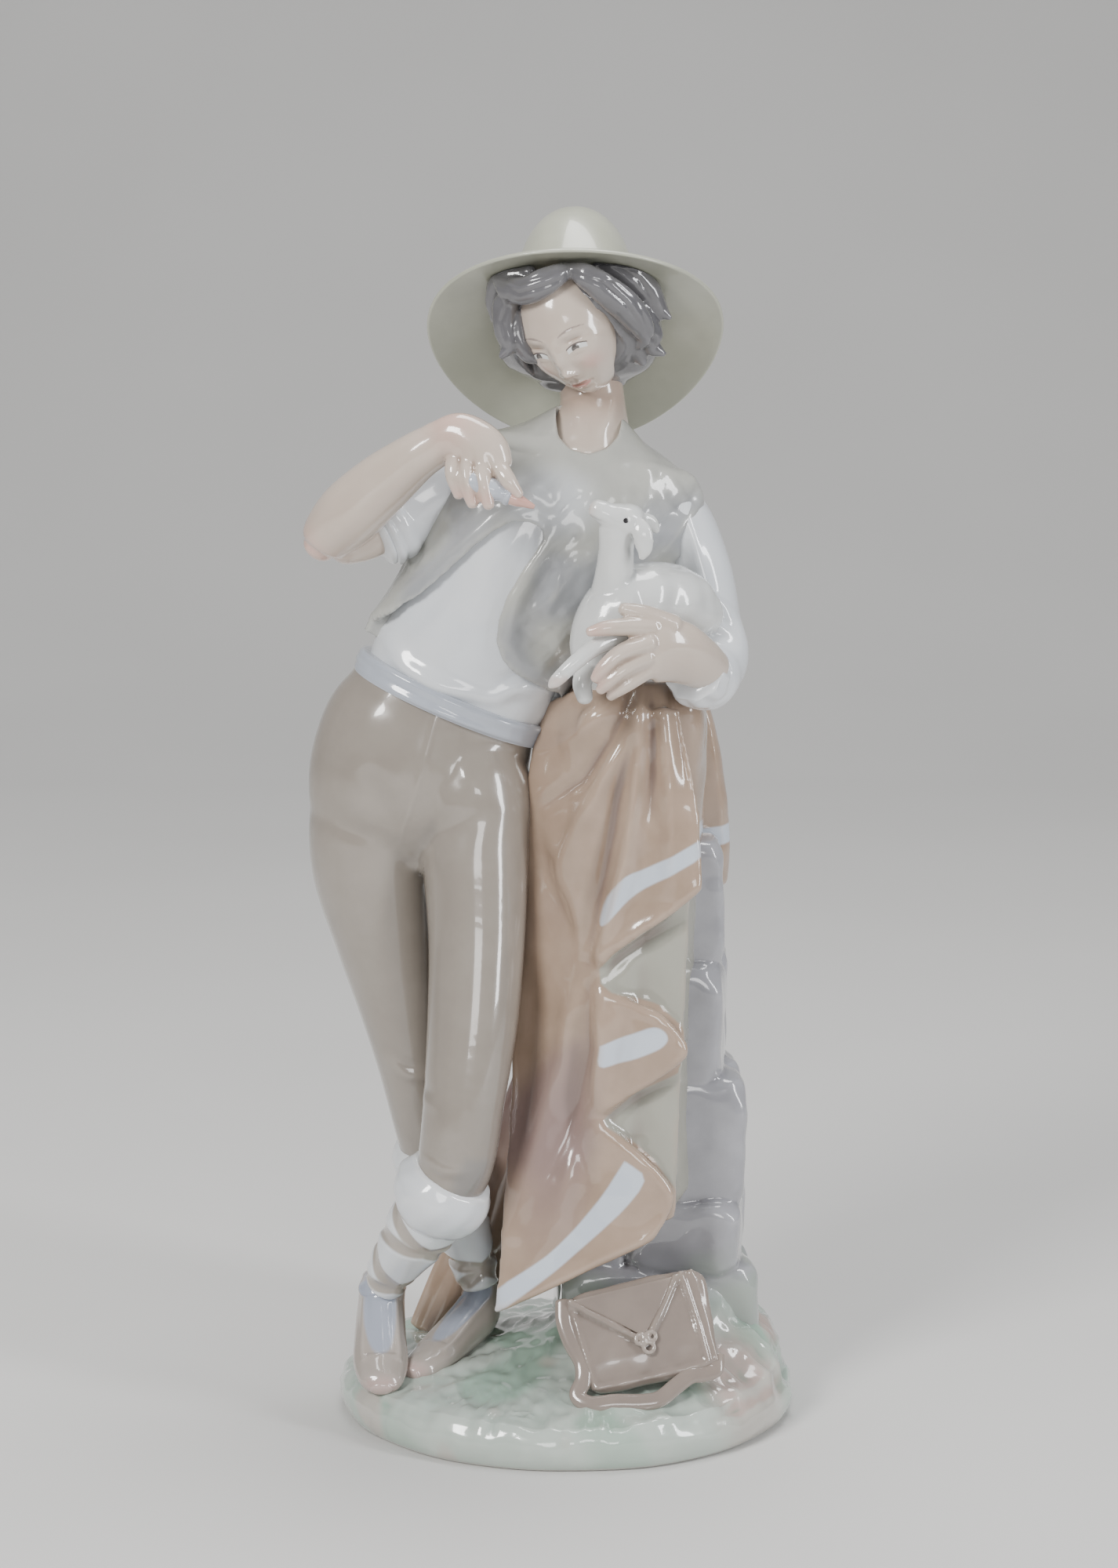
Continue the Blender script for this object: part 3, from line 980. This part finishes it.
LEFT_HAND = [
    [(37, -23, 213, 6.4, 5.8), (33.4, -28.4, 216, 7.4, 5.2), (28.5, -33, 219, 8.6, 4.8),
     (23.4, -36.6, 220.4, 8.8, 4.2), (19, -39, 220, 7, 3.2)],
    [(22, -37.6, 226.4, 2.9, 2.9), (14, -41, 227, 2.4, 2.4), (9.6, -42.2, 226.8, 2.1, 2.1),
     (5.6, -42.6, 226, 1.4, 1.4)],
    [(21, -39.6, 222.6, 2.9, 2.9), (14, -42.6, 220.4, 2.5, 2.5), (9.4, -43.6, 216.8, 2.1, 2.1),
     (7, -43.4, 213.8, 1.4, 1.4)],
    [(20.5, -39.6, 218.8, 2.8, 2.8), (14.5, -42.2, 215.8, 2.4, 2.4), (10.4, -42.8, 212.8, 2, 2),
     (8.4, -42.4, 210.6, 1.4, 1.4)],
    [(21, -38.4, 215.6, 2.6, 2.6), (16, -40.8, 212.4, 2.2, 2.2), (12.4, -41.2, 210, 1.8, 1.8),
     (11, -40.8, 208.6, 1.3, 1.3)],
    [(27, -35, 226, 3.6, 3.6), (20, -37.2, 229.6, 2.7, 2.7), (14.4, -38.6, 231.4, 1.8, 1.8)],
]
left_hand = fused("left_hand_skin", hand_forms(LEFT_HAND), 0.4, 5)
LEFT_LINES = [
    (-0.35, 0.7, [(21, 224.6), (15, 224), (10, 222.4)]),
    (-0.4, 0.7, [(20, 220.6), (14, 218.2), (10, 214.8)]),
    (-0.4, 0.7, [(20, 216.8), (15, 214), (11.4, 211)]),
]
press_lines(left_hand, LEFT_LINES)
places, _ = points_of(left_hand)
settle(left_hand, "skin_bisque", "left_hand", blush=ramp(places[:, 0], 14, 6) * 0.6)

# %% [markdown]
# ## The feeding bottle
# A small stub of a bottle in the fingers, with a rose-coloured teat. Both are turned forms: one profile
# of distances and radii, carried round a leaning axis.

# %% Bottle and teat
def turned(start, aim, profile, sides=40, count=60):
    """Rings round an axis from `start` along `aim`: (distance, radius) pairs, smoothed."""
    aim = np.array(aim, float) / np.linalg.norm(aim)
    rows = [(*(np.array(start) + aim * distance), radius, radius) for distance, radius in profile]
    return tube(rows, sides, count, front=(0, 0, 1), dome=0.35)


BOTTLE_FOOT, BOTTLE_AIM, TEAT_START = (-26, -36.2, 265), (15, -2, -6), 12.2
bottle = skin("bottle_glass", turned(BOTTLE_FOOT, BOTTLE_AIM, [
    (0, 2.2), (1, 2.8), (4, 3), (7.2, 2.9), (9.2, 2.3), (10.2, 2.2), (10.7, 2.5), (11.6, 2.45),
    (12, 2)]))
settle(bottle, "bottle_blue", "bottle")
mouth = np.array(BOTTLE_FOOT) + TEAT_START * unit(np.array(BOTTLE_AIM, float))
teat = skin("teat_rubber", turned(mouth, BOTTLE_AIM, [
    (0, 2), (1.4, 1.9), (2.6, 1.6), (4.2, 1.15), (5.4, 0.9), (6.4, 0.6)]))
settle(teat, "teat_rose", "bottle_teat")

# %% [markdown]
# ## The lamb
# The lamb lies along the forearm with its neck stretched up to the bottle. Body, neck, skull, ears and
# legs are lofts run into each other; its eye is a dot of black and its muzzle is faintly rose.

# %% Lamb
LAMB = [
    [(6, -27, 212, 5, 5), (9, -28, 220, 9.2, 9.4), (14, -27, 228.5, 10.6, 10.2),
     (21, -23, 231.5, 10, 9.8), (29, -18, 230, 9.6, 9.2), (35, -13, 225.5, 7.2, 7.2),
     (37.5, -10.5, 222, 3.6, 3.8)],
    [(11.5, -28, 227, 7.8, 7.2), (12, -29.5, 237, 5.5, 5.2), (12.6, -30.5, 245, 4.7, 4.6),
     (12.8, -31.5, 251, 4.9, 4.6)],
    [(18.4, -31.5, 251.2, 3.2, 3.2), (16, -31.8, 253, 5, 4.8), (12.8, -32.2, 254.2, 4.3, 4.2),
     (10.2, -32.6, 255.4, 3.3, 3.2), (8.4, -32.8, 256.4, 3, 2.9), (7.4, -32.8, 257, 2.6, 2.5)],
    [(17.2, -34.6, 254.4, 1.8, 1), (19.2, -36.2, 251.2, 2.7, 1.2), (19.8, -36.4, 247, 2.3, 1.1),
     (19.2, -36.2, 244.4, 0.9, 0.7)],
    [(17.4, -29, 254.4, 1.6, 1), (21.4, -26.8, 252.6, 2.1, 1.1), (23.4, -26, 250.2, 1, 0.8)],
    [(12, -36, 223.4, 3, 3), (6.6, -40.6, 221.4, 2.4, 2.2), (1.4, -43, 217.6, 2.1, 2),
     (-3.2, -43.6, 213.2, 1.8, 1.4), (-4.6, -43.4, 211.8, 1, 0.9)],
    [(7, -31, 217, 3.2, 3.2), (3.8, -35.2, 211.8, 2.7, 2.7), (4.4, -36.2, 207.4, 2.2, 2.2)],
]
lamb = fused("lamb_wool", [skin("form", tube(rows, 40, 48, dome=0.8)) for rows in LAMB], 0.42, 6)
LAMB_LINES = [
    (-0.3, 0.6, [(5.4, 255.2), (7.4, 254), (9.4, 253.4)]),
    (0.4, 1.2, [(12.5, 257.6), (15, 256.6), (17, 255)]),
    (-0.5, 1, [(17, 250), (16.6, 247), (17, 244.5)]),
    (0.8, 2.2, [(14, 234), (17, 228), (15, 222)]),
    (-0.7, 2, [(18, 238), (20, 232), (19, 226)]),
    (-0.35, 0.4, [(-3.2, 216.2), (-0.8, 214.2)]),
]
press_lines(lamb, LAMB_LINES, lambda places:
            0.22 * lumps(places, 7.5, 51) * ramp(places[:, 0], 12, 20) * (places[:, 2] < 240))
places, normals = points_of(lamb)
eye = 0.72 - np.hypot(places[:, 0] - 15, places[:, 2] - 254.3)
snout = bell(np.linalg.norm(places - (6, -33, 257), axis=1), 2.2)
hooves = ramp(places[:, 2], 215.5, 213.5) * (places[:, 0] < 0)
settle(lamb, "lamb_white", "lamb_body", "lamb_head", "lamb_left_ear", "lamb_right_ear", "lamb_left_foreleg",
       "lamb_right_foreleg", eye=np.where(normals[:, 1] < -0.2, eye, OFF),
       muzzle=np.clip(snout + hooves, 0, 1))

# %% [markdown]
# ## Neck and head
# The face is calm and plain, on the proportions of a drawing primer: eyes at mid-height and one eye
# apart, the nose half of what is left, the mouth a third below it. It is one egg whose radius is changed
# by bell-shaped hills and hollows. The rings lie closer together at the face, where the detail is.

# %% Neck and head
NECK = [(2.5, 2, 258, 11, 10.5), (4.9, 2, 267, 12.2, 11.8), (6, 3.4, 273.5, 10.9, 10.4),
        (6.6, 6.4, 281, 8.8, 8), (5.4, 8, 290, 8.6, 7.8)]
neck = skin("neck_skin", tube(NECK, 96, 80, dome=0.1))
press_lines(neck, [
    (0.8, 1.5, [(-3, 268.6), (2, 269.6), (6, 269), (12, 270.5)]),
    (0.6, 2, [(13, 284), (11, 277), (7, 271)]),
    (-0.5, 1.6, [(5, 280), (6, 274), (6, 271)])])
places, _ = points_of(neck)
settle(neck, "skin_bisque", "neck", shade=ramp(places[:, 2], 273, 282) * 0.8)

HEAD_TURN = rotation((-17, "Y"), (-24, "Z"), (16, "X"))
HEAD_MIDDLE = np.array((1.5, -1.5, 302))
HEAD_WIDE, HEAD_DEEP, HEAD_TALL = 13.8, 16.2, 19.0    # half sizes
EYE_AT = 5.5                                          # an eye's distance from the middle line
LID_AT, IRIS_AT, MOUTH_AT = 0.55, -0.55, -12.05       # heights above the middle of the face


def on_head(points):
    """HEAD_TURN * point + HEAD_MIDDLE: from the head's coordinates to the group's."""
    return points @ HEAD_TURN.T + HEAD_MIDDLE


even = np.linspace(-math.pi, math.pi, 260, endpoint=False)
around = even - 0.62 * np.sin(even)
down = np.linspace(0.02, math.pi - 0.02, 170)
down = down + 0.22 * np.sin(2 * (down - 0.35))
a, t = np.meshgrid(around, np.sort(down))
px, py, pz = np.sin(t) * np.sin(a), -np.sin(t) * np.cos(a), np.cos(t)
low = np.clip(-pz, 0, 1)
face = np.clip(-py, 0, 1) ** 0.5
mx, mz = px * HEAD_WIDE, pz * HEAD_TALL             # millimetres across and up the face
side = np.abs(mx)


# height, distance from the middle line, height up the face, half width and half height of each soft hill
HILLS = [
    (0.7, 4.5, 4.2, 5, 1.7), (-1.5, 5.4, 0.2, 2.6, 2.3), (1.25, 5.5, -0.4, 2.05, 1.35),
    (0.30, 5.6, 0.9, 2.5, 0.45), (-0.22, 5.6, 1.7, 2.4, 0.35), (0.2, 5.5, -1.9, 2, 0.5),
    (1.4, 0, 0.5, 1.7, 3.2), (1.9, 0, -3.8, 1.6, 2.6), (2.6, 0, -7.1, 1.75, 1.6),
    (0.9, 1.9, -7.7, 0.85, 0.85), (-0.7, 1.2, -8.7, 0.75, 0.45), (-0.35, 0, -9.8, 0.7, 1),
    (0.9, 0, -11.2, 2.6, 0.75), (0.45, 1.1, -11, 0.9, 0.5), (1.1, 0, -13, 2.3, 0.8),
    (-0.75, 0, MOUTH_AT, 3, 0.32), (-0.5, 3.9, -12.1, 0.8, 0.7), (-0.7, 0, -14.4, 2.8, 0.7),
    (1.3, 0, -16.6, 3.4, 2), (0.7, 7, -5, 3.4, 3.2), (-0.5, 8, -11, 3, 3.5),
]
relief = sum(height * np.exp(-((side - x_at) / wide) ** 2 - ((mz - z_at) / high) ** 2)
             for height, x_at, z_at, wide, high in HILLS)
head = skin("head_skin", on_head(np.stack([
    px * HEAD_WIDE * (1 - 0.26 * low ** 1.3), py * HEAD_DEEP * (1 - 0.18 * low) - face * relief,
    pz * HEAD_TALL], -1)))
front = py < -0.3
eye_x = side - EYE_AT
lid = LID_AT - 0.11 * eye_x ** 2
opening = np.minimum(lid - mz, mz + 1.05 + 0.02 * eye_x ** 2 + 0.28 * np.abs(eye_x) - 0.3)
opening = np.minimum(opening, 2.5 - np.abs(eye_x))
gaze = np.where(mx > 0, mx - 5.2, -mx - 5.8)
iris = np.minimum(1.0 - np.hypot(gaze, mz - IRIS_AT), opening)
lash = np.minimum(0.20 - np.abs(mz - lid), 2.75 - np.abs(eye_x))
arch = 4.9 - 0.07 * (side - 5.2) ** 2 + 0.10 * (side - 5.2)
brow = np.minimum(0.34 - np.abs(mz - arch) - 0.045 * np.abs(side - 4.8), 3.4 - np.abs(side - 5.6))
upper = np.minimum(mz - MOUTH_AT, -11.0 + 0.10 * side - 0.34 * np.clip(side - 1, 0, 9) - mz)
lower = np.minimum(MOUTH_AT - mz, mz + 13.75 - 0.16 * side ** 1.5)
lips = np.minimum(np.maximum(upper, lower), 3.6 - side) * 0.5


def worn(values):
    """Numbers on the face's grid, OFF at the back of the head and at the two vertices that close it."""
    return np.append(np.where(front, values, OFF).ravel(), [OFF, OFF])


cheeks = np.exp(-((side - 7.2) / 3.4) ** 2 - ((mz + 6.2) / 3.2) ** 2) * 0.55
nose_tip = np.exp(-(mx / 1.6) ** 2 - ((mz + 8) / 1.2) ** 2) * 0.35
settle(head, "skin_bisque", "head", white=worn(opening), iris=worn(iris), line=worn(lash),
       brow=worn(brow), lips=worn(lips), blush=np.append((cheeks + nose_tip).ravel(), [0, 0]))

# %% [markdown]
# ## Hair
# Short waved hair, parted over the forehead: thick smooth locks that flick out at their ends. A cap
# gives the bulk, and each lock is a tapering loft laid over it. All are fused, and fine lines are
# pressed along the locks.

# %% Hair
CAP = [(4, 9, 286, 12, 7), (3, 7, 290.5, 19.5, 12.5), (3, 4, 297.5, 22, 16.5),
       (3, 3, 306, 21.5, 17.5), (3, 4, 315, 18, 17), (3, 5, 321, 10, 11)]
ARCH = [(-1.10, -1.6), (1.10, -1.6), (1.04, -0.5), (0.94, 0.15), (0.68, 0.50), (0.20, 0.72), (0, 0.62),
        (-0.20, 0.72), (-0.68, 0.50), (-0.94, 0.15), (-1.04, -0.5)]
cut = np.array([[(x * HEAD_WIDE, depth, z * HEAD_TALL) for x, z in ARCH] for depth in (-46, -4.5)])
face_cutter = skin("cutter", on_head(cut))
LOCKS = [
    [(1.5, -13, 318.2, 1.6, 2), (-4, -16.2, 315.8, 3.4, 2.4), (-10, -15.6, 312.6, 3.9, 2.6),
     (-15.5, -11.8, 312.4, 3.2, 2.4), (-19.6, -7.4, 315.4, 1, 1)],
    [(-1, -13, 318.4, 1.6, 2), (5, -16.6, 316, 3.4, 2.4), (11, -16, 311.6, 4.2, 2.8),
     (16.6, -12.8, 306.4, 4.2, 3), (20, -8.6, 300.6, 3, 2.4), (19, -7.2, 297, 1, 1)],
    [(-13, -9.6, 313, 2.8, 2.6), (-16.6, -9, 308, 3.3, 3), (-16.8, -9, 302, 3, 2.8),
     (-15.6, -9.6, 297.4, 2.4, 2.2), (-17.6, -9.8, 294.6, 0.9, 0.9)],
    [(-14, -8, 305, 2.6, 2.4), (-13, -9, 299, 2.6, 2.4), (-10.8, -9.2, 294.8, 2, 1.8),
     (-8, -8.6, 293.2, 0.8, 0.8)],
    [(8, -9, 319.6, 2.6, 2.6), (15, -8, 316.6, 4.2, 3.4), (20.5, -5.6, 311.6, 4, 3.4),
     (24, -4.6, 306.6, 2.8, 2.6), (27, -5.4, 304.4, 0.9, 0.9)],
    [(18.6, -6, 307, 3.4, 3.2), (21.4, -5, 301, 3.6, 3.2), (22.6, -4.6, 296.8, 2.8, 2.6),
     (25.4, -5, 294.8, 0.9, 0.9)],
    [(16.8, -4.6, 301, 3.4, 3.2), (18.4, -3.6, 295.6, 3.2, 3), (20, -3.4, 292.2, 1.2, 1.2)],
    [(-10, -11, 316.6, 2.4, 2.2), (-17, -7.6, 314.8, 3, 2.6), (-19.6, -4.6, 309.8, 2.6, 2.6),
     (-19.4, -3.6, 304, 1.4, 1.4)],
    [(-8, 12, 300, 4, 3.6), (-10, 13, 293, 3.8, 3.2), (-10.6, 14, 288.4, 1.2, 1.2)],
    [(2, 15, 298, 4.4, 3.6), (2, 16.6, 291, 4, 3.2), (1.2, 17.4, 286.6, 1.2, 1.2)],
    [(12, 13, 299, 4.2, 3.6), (13.4, 14, 292, 3.8, 3.2), (15.6, 14.8, 287.6, 1.2, 1.2)],
]
hair = fused("hair_cap", [skin("cap", tube(CAP, 90, 60, upright=True))], 0.5, 3, carve=[face_cutter])
hair = fused("hair_locks", [hair, *(skin("lock", tube(rows, 36, 50, dome=0.8)) for rows in LOCKS)], 0.45, 4)
STRANDS = [
    (-0.45, 0.7, [(2, 317), (-6, 313.8), (-13, 311.6), (-18, 314)]),
    (-0.35, 0.6, [(0, 318.4), (-7, 316), (-13, 314.2), (-18.4, 315.6)]),
    (-0.5, 0.7, [(1, 317.4), (9, 314.6), (15, 309.4), (19.6, 302)]),
    (-0.35, 0.6, [(3, 318.2), (12, 315), (18, 309.4), (21.4, 303)]),
    (-0.45, 0.7, [(12, 319), (19, 314.6), (23, 308.6)]),
    (-0.4, 0.6, [(-15.4, 311), (-17.4, 304), (-16.2, 297)]),
    (-0.4, 0.6, [(20, 305), (22.4, 299), (23.4, 296)]),
]
press_lines(hair, STRANDS, lambda places: 0.08 * lumps(places, 5, 61))
# radius of the brim and the crown, the heights where the crown starts and ends, and the felt's thickness
BRIM, CROWN, CROWN_FOOT, CROWN_TOP, FELT = 40, 17.2, 4.4, 37.2, 1.5
HAT_MIDDLE, HAT_TILT = np.array((2, 11.5, 301)), rotation((-44, "X"))
BRIM_BEND = 7.0       # how far the brim's front and back are bent down


def under_hat(places):
    """Presses down what would come through the hat: heights over its inner surface move to just under it."""
    local = (places - HAT_MIDDLE) @ HAT_TILT
    radius = np.hypot(local[:, 0], local[:, 1])
    share = ((radius + FELT + 0.5) / CROWN).clip(0, 1)
    dome = CROWN_FOOT + (CROWN_TOP - CROWN_FOOT) * np.sqrt(1 - share ** 2.8)
    reach = np.clip(radius - CROWN, 0, None) / (BRIM - CROWN)
    brim = 2.0 * (1 - reach) - BRIM_BEND * (reach * local[:, 1] / np.maximum(radius, 1)) ** 2
    roof = np.where(share < 1, dome, brim) - FELT - 0.6
    local[:, 2] = np.minimum(local[:, 2], roof)
    return local @ HAT_TILT.T + HAT_MIDDLE


move_to(hair, under_hat(points_of(hair)[0]))
settle(hair, "hair_slate", "hair")

# %% [markdown]
# ## The hat
# A wide soft hat set far back, so that its brim frames the head. It is turned on the wheel as one thin
# shell: a profile goes round an axis, and the brim's front and back are bent down while it is wet. The
# glaze on it is thinner and more satin than on the rest.

# %% Hat
rise = np.radians(np.linspace(0, 89, 40))
brim_r = np.linspace(BRIM - FELT / 2, CROWN * 1.10, 34)
lift = 2.4 * ((BRIM - brim_r) / (BRIM - CROWN * 1.10)) ** 1.6
fillet = np.radians(np.linspace(10, 80, 8))
outer = [np.stack([brim_r, lift], -1),
         np.stack([CROWN + 1.5 * (1 - np.sin(fillet)), 2.6 + 1.6 * (1 - np.cos(fillet))], -1),
         np.stack([CROWN * np.cos(rise) ** 0.72,
                   CROWN_FOOT + (CROWN_TOP - CROWN_FOOT) * np.sin(rise) ** 1.02], -1)]
outer = np.vstack(outer)
direction = unit(np.gradient(outer, axis=0))
inner = outer + np.stack([-direction[:, 1], direction[:, 0]], -1) * FELT
edge_turn = np.radians(np.linspace(75, -75, 9))
edge = np.stack([BRIM - FELT / 2 + FELT / 2 * np.cos(edge_turn), FELT / 2 * np.sin(edge_turn) - FELT / 2], -1)
profile = np.vstack([outer[::-1], edge, inner])
turn = circle(200)
radius, height = profile[:, :1], profile[:, 1:]
reach = np.clip(radius - CROWN, 0, None) / (BRIM - CROWN)
height = height - BRIM_BEND * (reach * np.sin(turn)) ** 2 + 0.35 * reach ** 2 * np.sin(3 * turn + 0.6)
local = np.stack([radius * np.cos(turn), radius * np.sin(turn), height], -1)
hat = skin("hat_felt", local @ HAT_TILT.T + HAT_MIDDLE)
settle(hat, "hat_olive", "hat")

# %% [markdown]
# ## The satchel
# A flat leather bag leans on the slope. Its flap ends in a raised V with a small double-ring clasp, the
# side gusset is a pair of welts, and the strap has slid off and lies round its foot. The bag has its own
# coordinates: across, out of the front, and up the front.

# %% Satchel
BAG_TURN, BAG_MIDDLE = rotation((-28, "X"), (-13, "Y")), np.array((20.5, -33, 32.5))
BAG_HALF = (19.4, 4.1, 13.9)
BAG_OUT = -BAG_TURN[:, 1]      # out of the bag's front


def on_bag(points):
    """BAG_TURN * point + BAG_MIDDLE: from the bag's coordinates to the group's."""
    return np.asarray(points, float) @ BAG_TURN.T + BAG_MIDDLE


def cord(way, radius, flat=1, sides=20, count=90):
    """A rounded cord along a way in the bag's coordinates; flat under 1 makes it a ribbon."""
    rows = [(*p, radius, radius * flat) for p in on_bag(way)]
    return skin("cord", tube(rows, sides, count, front=BAG_OUT, dome=0.9))


bag = boxy_ball(60, 90, 0.26, 1.52) * BAG_HALF + (0, BAG_HALF[1], 0)
bag[..., 0] *= 1 + 0.004 * bag[..., 2]
bag[..., 2] += 1.3 * np.cos(bag[..., 0] / 13.5) * (bag[..., 2] > 0) - 0.8
bag[..., 1] -= 1.3 * np.exp(-(bag[..., 0] / 13) ** 2 - (bag[..., 2] / 9) ** 2) * (bag[..., 1] < 4)
body = skin("bag", on_bag(bag))
V_RIDGE, WELT = 1.05, 0.9
V_WAY = [(-17.8, -0.2, 12), (-13, -0.8, 7.4), (-7, -1.2, 2.4), (-1.6, -1.4, -2.2), (0.6, -1.4, -2.3),
         (4, -1.2, 1.4), (8, -0.8, 6.6), (11.8, -0.2, 12.2)]
welts = [cord(way, radius, 0.8) for radius, way in (
    (V_RIDGE, V_WAY), (WELT, [(13.4, 0.1, 12.9), (14.4, -0.1, 2), (15.2, 0.2, -12.4)]),
    (WELT * 0.8, [(16.4, 0.5, 12.9), (17, 0.3, 2), (17.6, 0.6, -12.4)]),
    (WELT, [(-17.8, 0.4, 11.5), (-17, 0.2, 0), (-16.2, 0.5, -12.6)]),
    (WELT, [(-15.6, 0.2, -12.6), (0, 0, -12.9), (15, 0.3, -12.6)]))]
bag_body = fused("satchel_leather", [body, *welts], 0.5, 4)
press(bag_body, lambda places, normals: 0.18 * lumps(places, 9, 71) - 0.1)
settle(bag_body, "leather_brown", "satchel_body")
flap_one = [(-17.2, -0.3, 12), (-8.6, -0.9, 5), (-0.6, -1.2, -1.8)]
flap_two = [(11.2, -0.3, 12.2), (6, -0.9, 5.2), (0.2, -1.2, -1.6)]
flap = skin("satchel_flap_leather", leaf(on_bag(flap_one).tolist(), on_bag(flap_two).tolist(), 0.65, 50, 40))
settle(flap, "leather_brown", "satchel_flap")


RING_Y, WIRE = -1.6, 0.62      # how far out of the bag the rings lie, and their wire's radius


def ring(x, z, radius):
    """A torus on the bag's front: middle + (radius + WIRE cos v) round, and WIRE sin v out of it."""
    u, v = circle(48)[:, None], circle(20)[None, :]
    wide = radius + WIRE * np.cos(v)
    points = np.stack([x + wide * np.cos(u), RING_Y + WIRE * np.sin(v) + 0 * u, z + wide * np.sin(u)], -1)
    grid = np.arange(48 * 20).reshape(48, 20)
    quads = np.stack([grid, np.roll(grid, -1, 0), np.roll(grid, (-1, -1), (0, 1)), np.roll(grid, -1, 1)], -1)
    return make("ring", on_bag(points).reshape(-1, 3), quads.reshape(-1, 4), np.empty((0, 3), int))


knot = skin("knot", turned(on_bag((0, -1, -2.6)), BAG_OUT, [(0, 1.5), (0.5, 1.6), (1, 1.2)]))
rings = [ring(-1.4, -2.6, 1.35), ring(1.5, -2.5, 1.35), ring(0.3, -5.3, 1.4)]
clasp = fused("satchel_clasp_metal", [*rings, knot], 0.28, 2)
places, _ = points_of(clasp)
settle(clasp, "leather_brown", "satchel_clasp", metal=np.ones(len(places)))
STRAP = [(-19.4, 1.6, 12.4), (-20.4, 1.4, 7), (-19.8, 1.2, 1), (-18.2, 1, -5), (-19, 0.6, -9.6),
         (-21.4, 0.2, -13.4), (-18.6, -0.6, -16.6), (-12, -1, -17.6), (-5, -1, -19.2), (0, -0.8, -19.4),
         (5, -0.2, -17), (9.6, 0.4, -15), (13, 1, -15.2), (16.6, 1.4, -14.6), (17.8, 2.2, -11)]
strap = cord(STRAP, 2.3, 0.5, sides=32, count=160)
strap.name = "satchel_strap_leather"
settle(strap, "leather_brown", "satchel_strap")

# %% [markdown]
# ## Studio
# A pale sweep of paper, a large soft light high on the left, a tall strip on the right and a weak fill
# from behind the camera. The long lens keeps the upright lines of the group upright.

# %% Floor, lights and camera
def sweep_floor():
    """Floor and backdrop in one sheet: flat to the back, then a quarter circle up into the wall."""
    bend = np.radians(np.linspace(0, 90, 24))
    curve = np.stack([0.9 + 0.8 * np.sin(bend), 0.8 * (1 - np.cos(bend))], -1)
    run = np.concatenate([[(-14, 0), (0.9, 0)], curve, [(1.7, 4)]])
    across = np.linspace(-9, 9, 9)
    points = np.array([[(x, y, z) for x in across] for y, z in run]).reshape(-1, 3)
    grid = np.arange(len(points)).reshape(len(run), len(across))
    quads = np.stack([grid[:-1, :-1], grid[:-1, 1:], grid[1:, 1:], grid[1:, :-1]], -1).reshape(-1, 4)
    mesh = bpy.data.meshes.new("paper_sweep")
    mesh.from_pydata(points.tolist(), [], quads.tolist())
    mesh.shade_smooth()
    paper = bpy.data.materials.new("paper")
    paper.use_nodes = True
    shader = paper.node_tree.nodes["Principled BSDF"]
    paint = Paint(paper.node_tree)
    tone = paint.noise(3).between(0.3, 0.7).mixed(stain("C9C8C6"), stain("CECDCB"))
    paper.node_tree.links.new(tone.socket, shader.inputs["Base Color"])
    shader.inputs["Roughness"].default_value = 0.85
    mesh.materials.append(paper)
    linked("paper_sweep", mesh)


def soft_light(name, place, target, size, power, tint):
    """A rectangular light at a place, aimed at a target: places and size in metres, power in watts."""
    light = bpy.data.lights.new(name, "AREA")
    light.shape, light.size, light.size_y = "RECTANGLE", *size
    light.energy, light.color = power, tint
    made = linked(name, light)
    made.location = place
    made.rotation_euler = (Vector(target) - Vector(place)).to_track_quat("-Z", "Y").to_euler()


sweep_floor()
soft_light("key", (-0.75, -0.95, 0.95), (0, 0, 0.18), (0.42, 0.42), 19, (1, 0.99, 0.97))
soft_light("strip", (0.95, -0.55, 0.55), (0, 0, 0.16), (0.16, 0.80), 9, (0.97, 0.98, 1))
soft_light("top", (0.1, 0.2, 1.3), (0, 0, 0.2), (0.7, 0.5), 12, (1, 1, 1))
soft_light("fill", (0.15, -1.6, 0.5), (0, 0, 0.18), (0.5, 0.3), 4, (1, 0.99, 0.98))
world = bpy.data.worlds.new("studio")
world.use_nodes = True
background = world.node_tree.nodes["Background"]
background.inputs["Color"].default_value = (0.62, 0.63, 0.65, 1)
background.inputs["Strength"].default_value = 0.52
bpy.context.scene.world = world
camera = linked("camera", bpy.data.cameras.new("camera"))
camera.data.sensor_width, camera.data.lens = 36, 91.8
camera.location = (-0.0024, -1.07, 0.39)
camera.rotation_euler = (math.radians(90 - 11.25), 0, 0)
bpy.context.scene.camera = camera
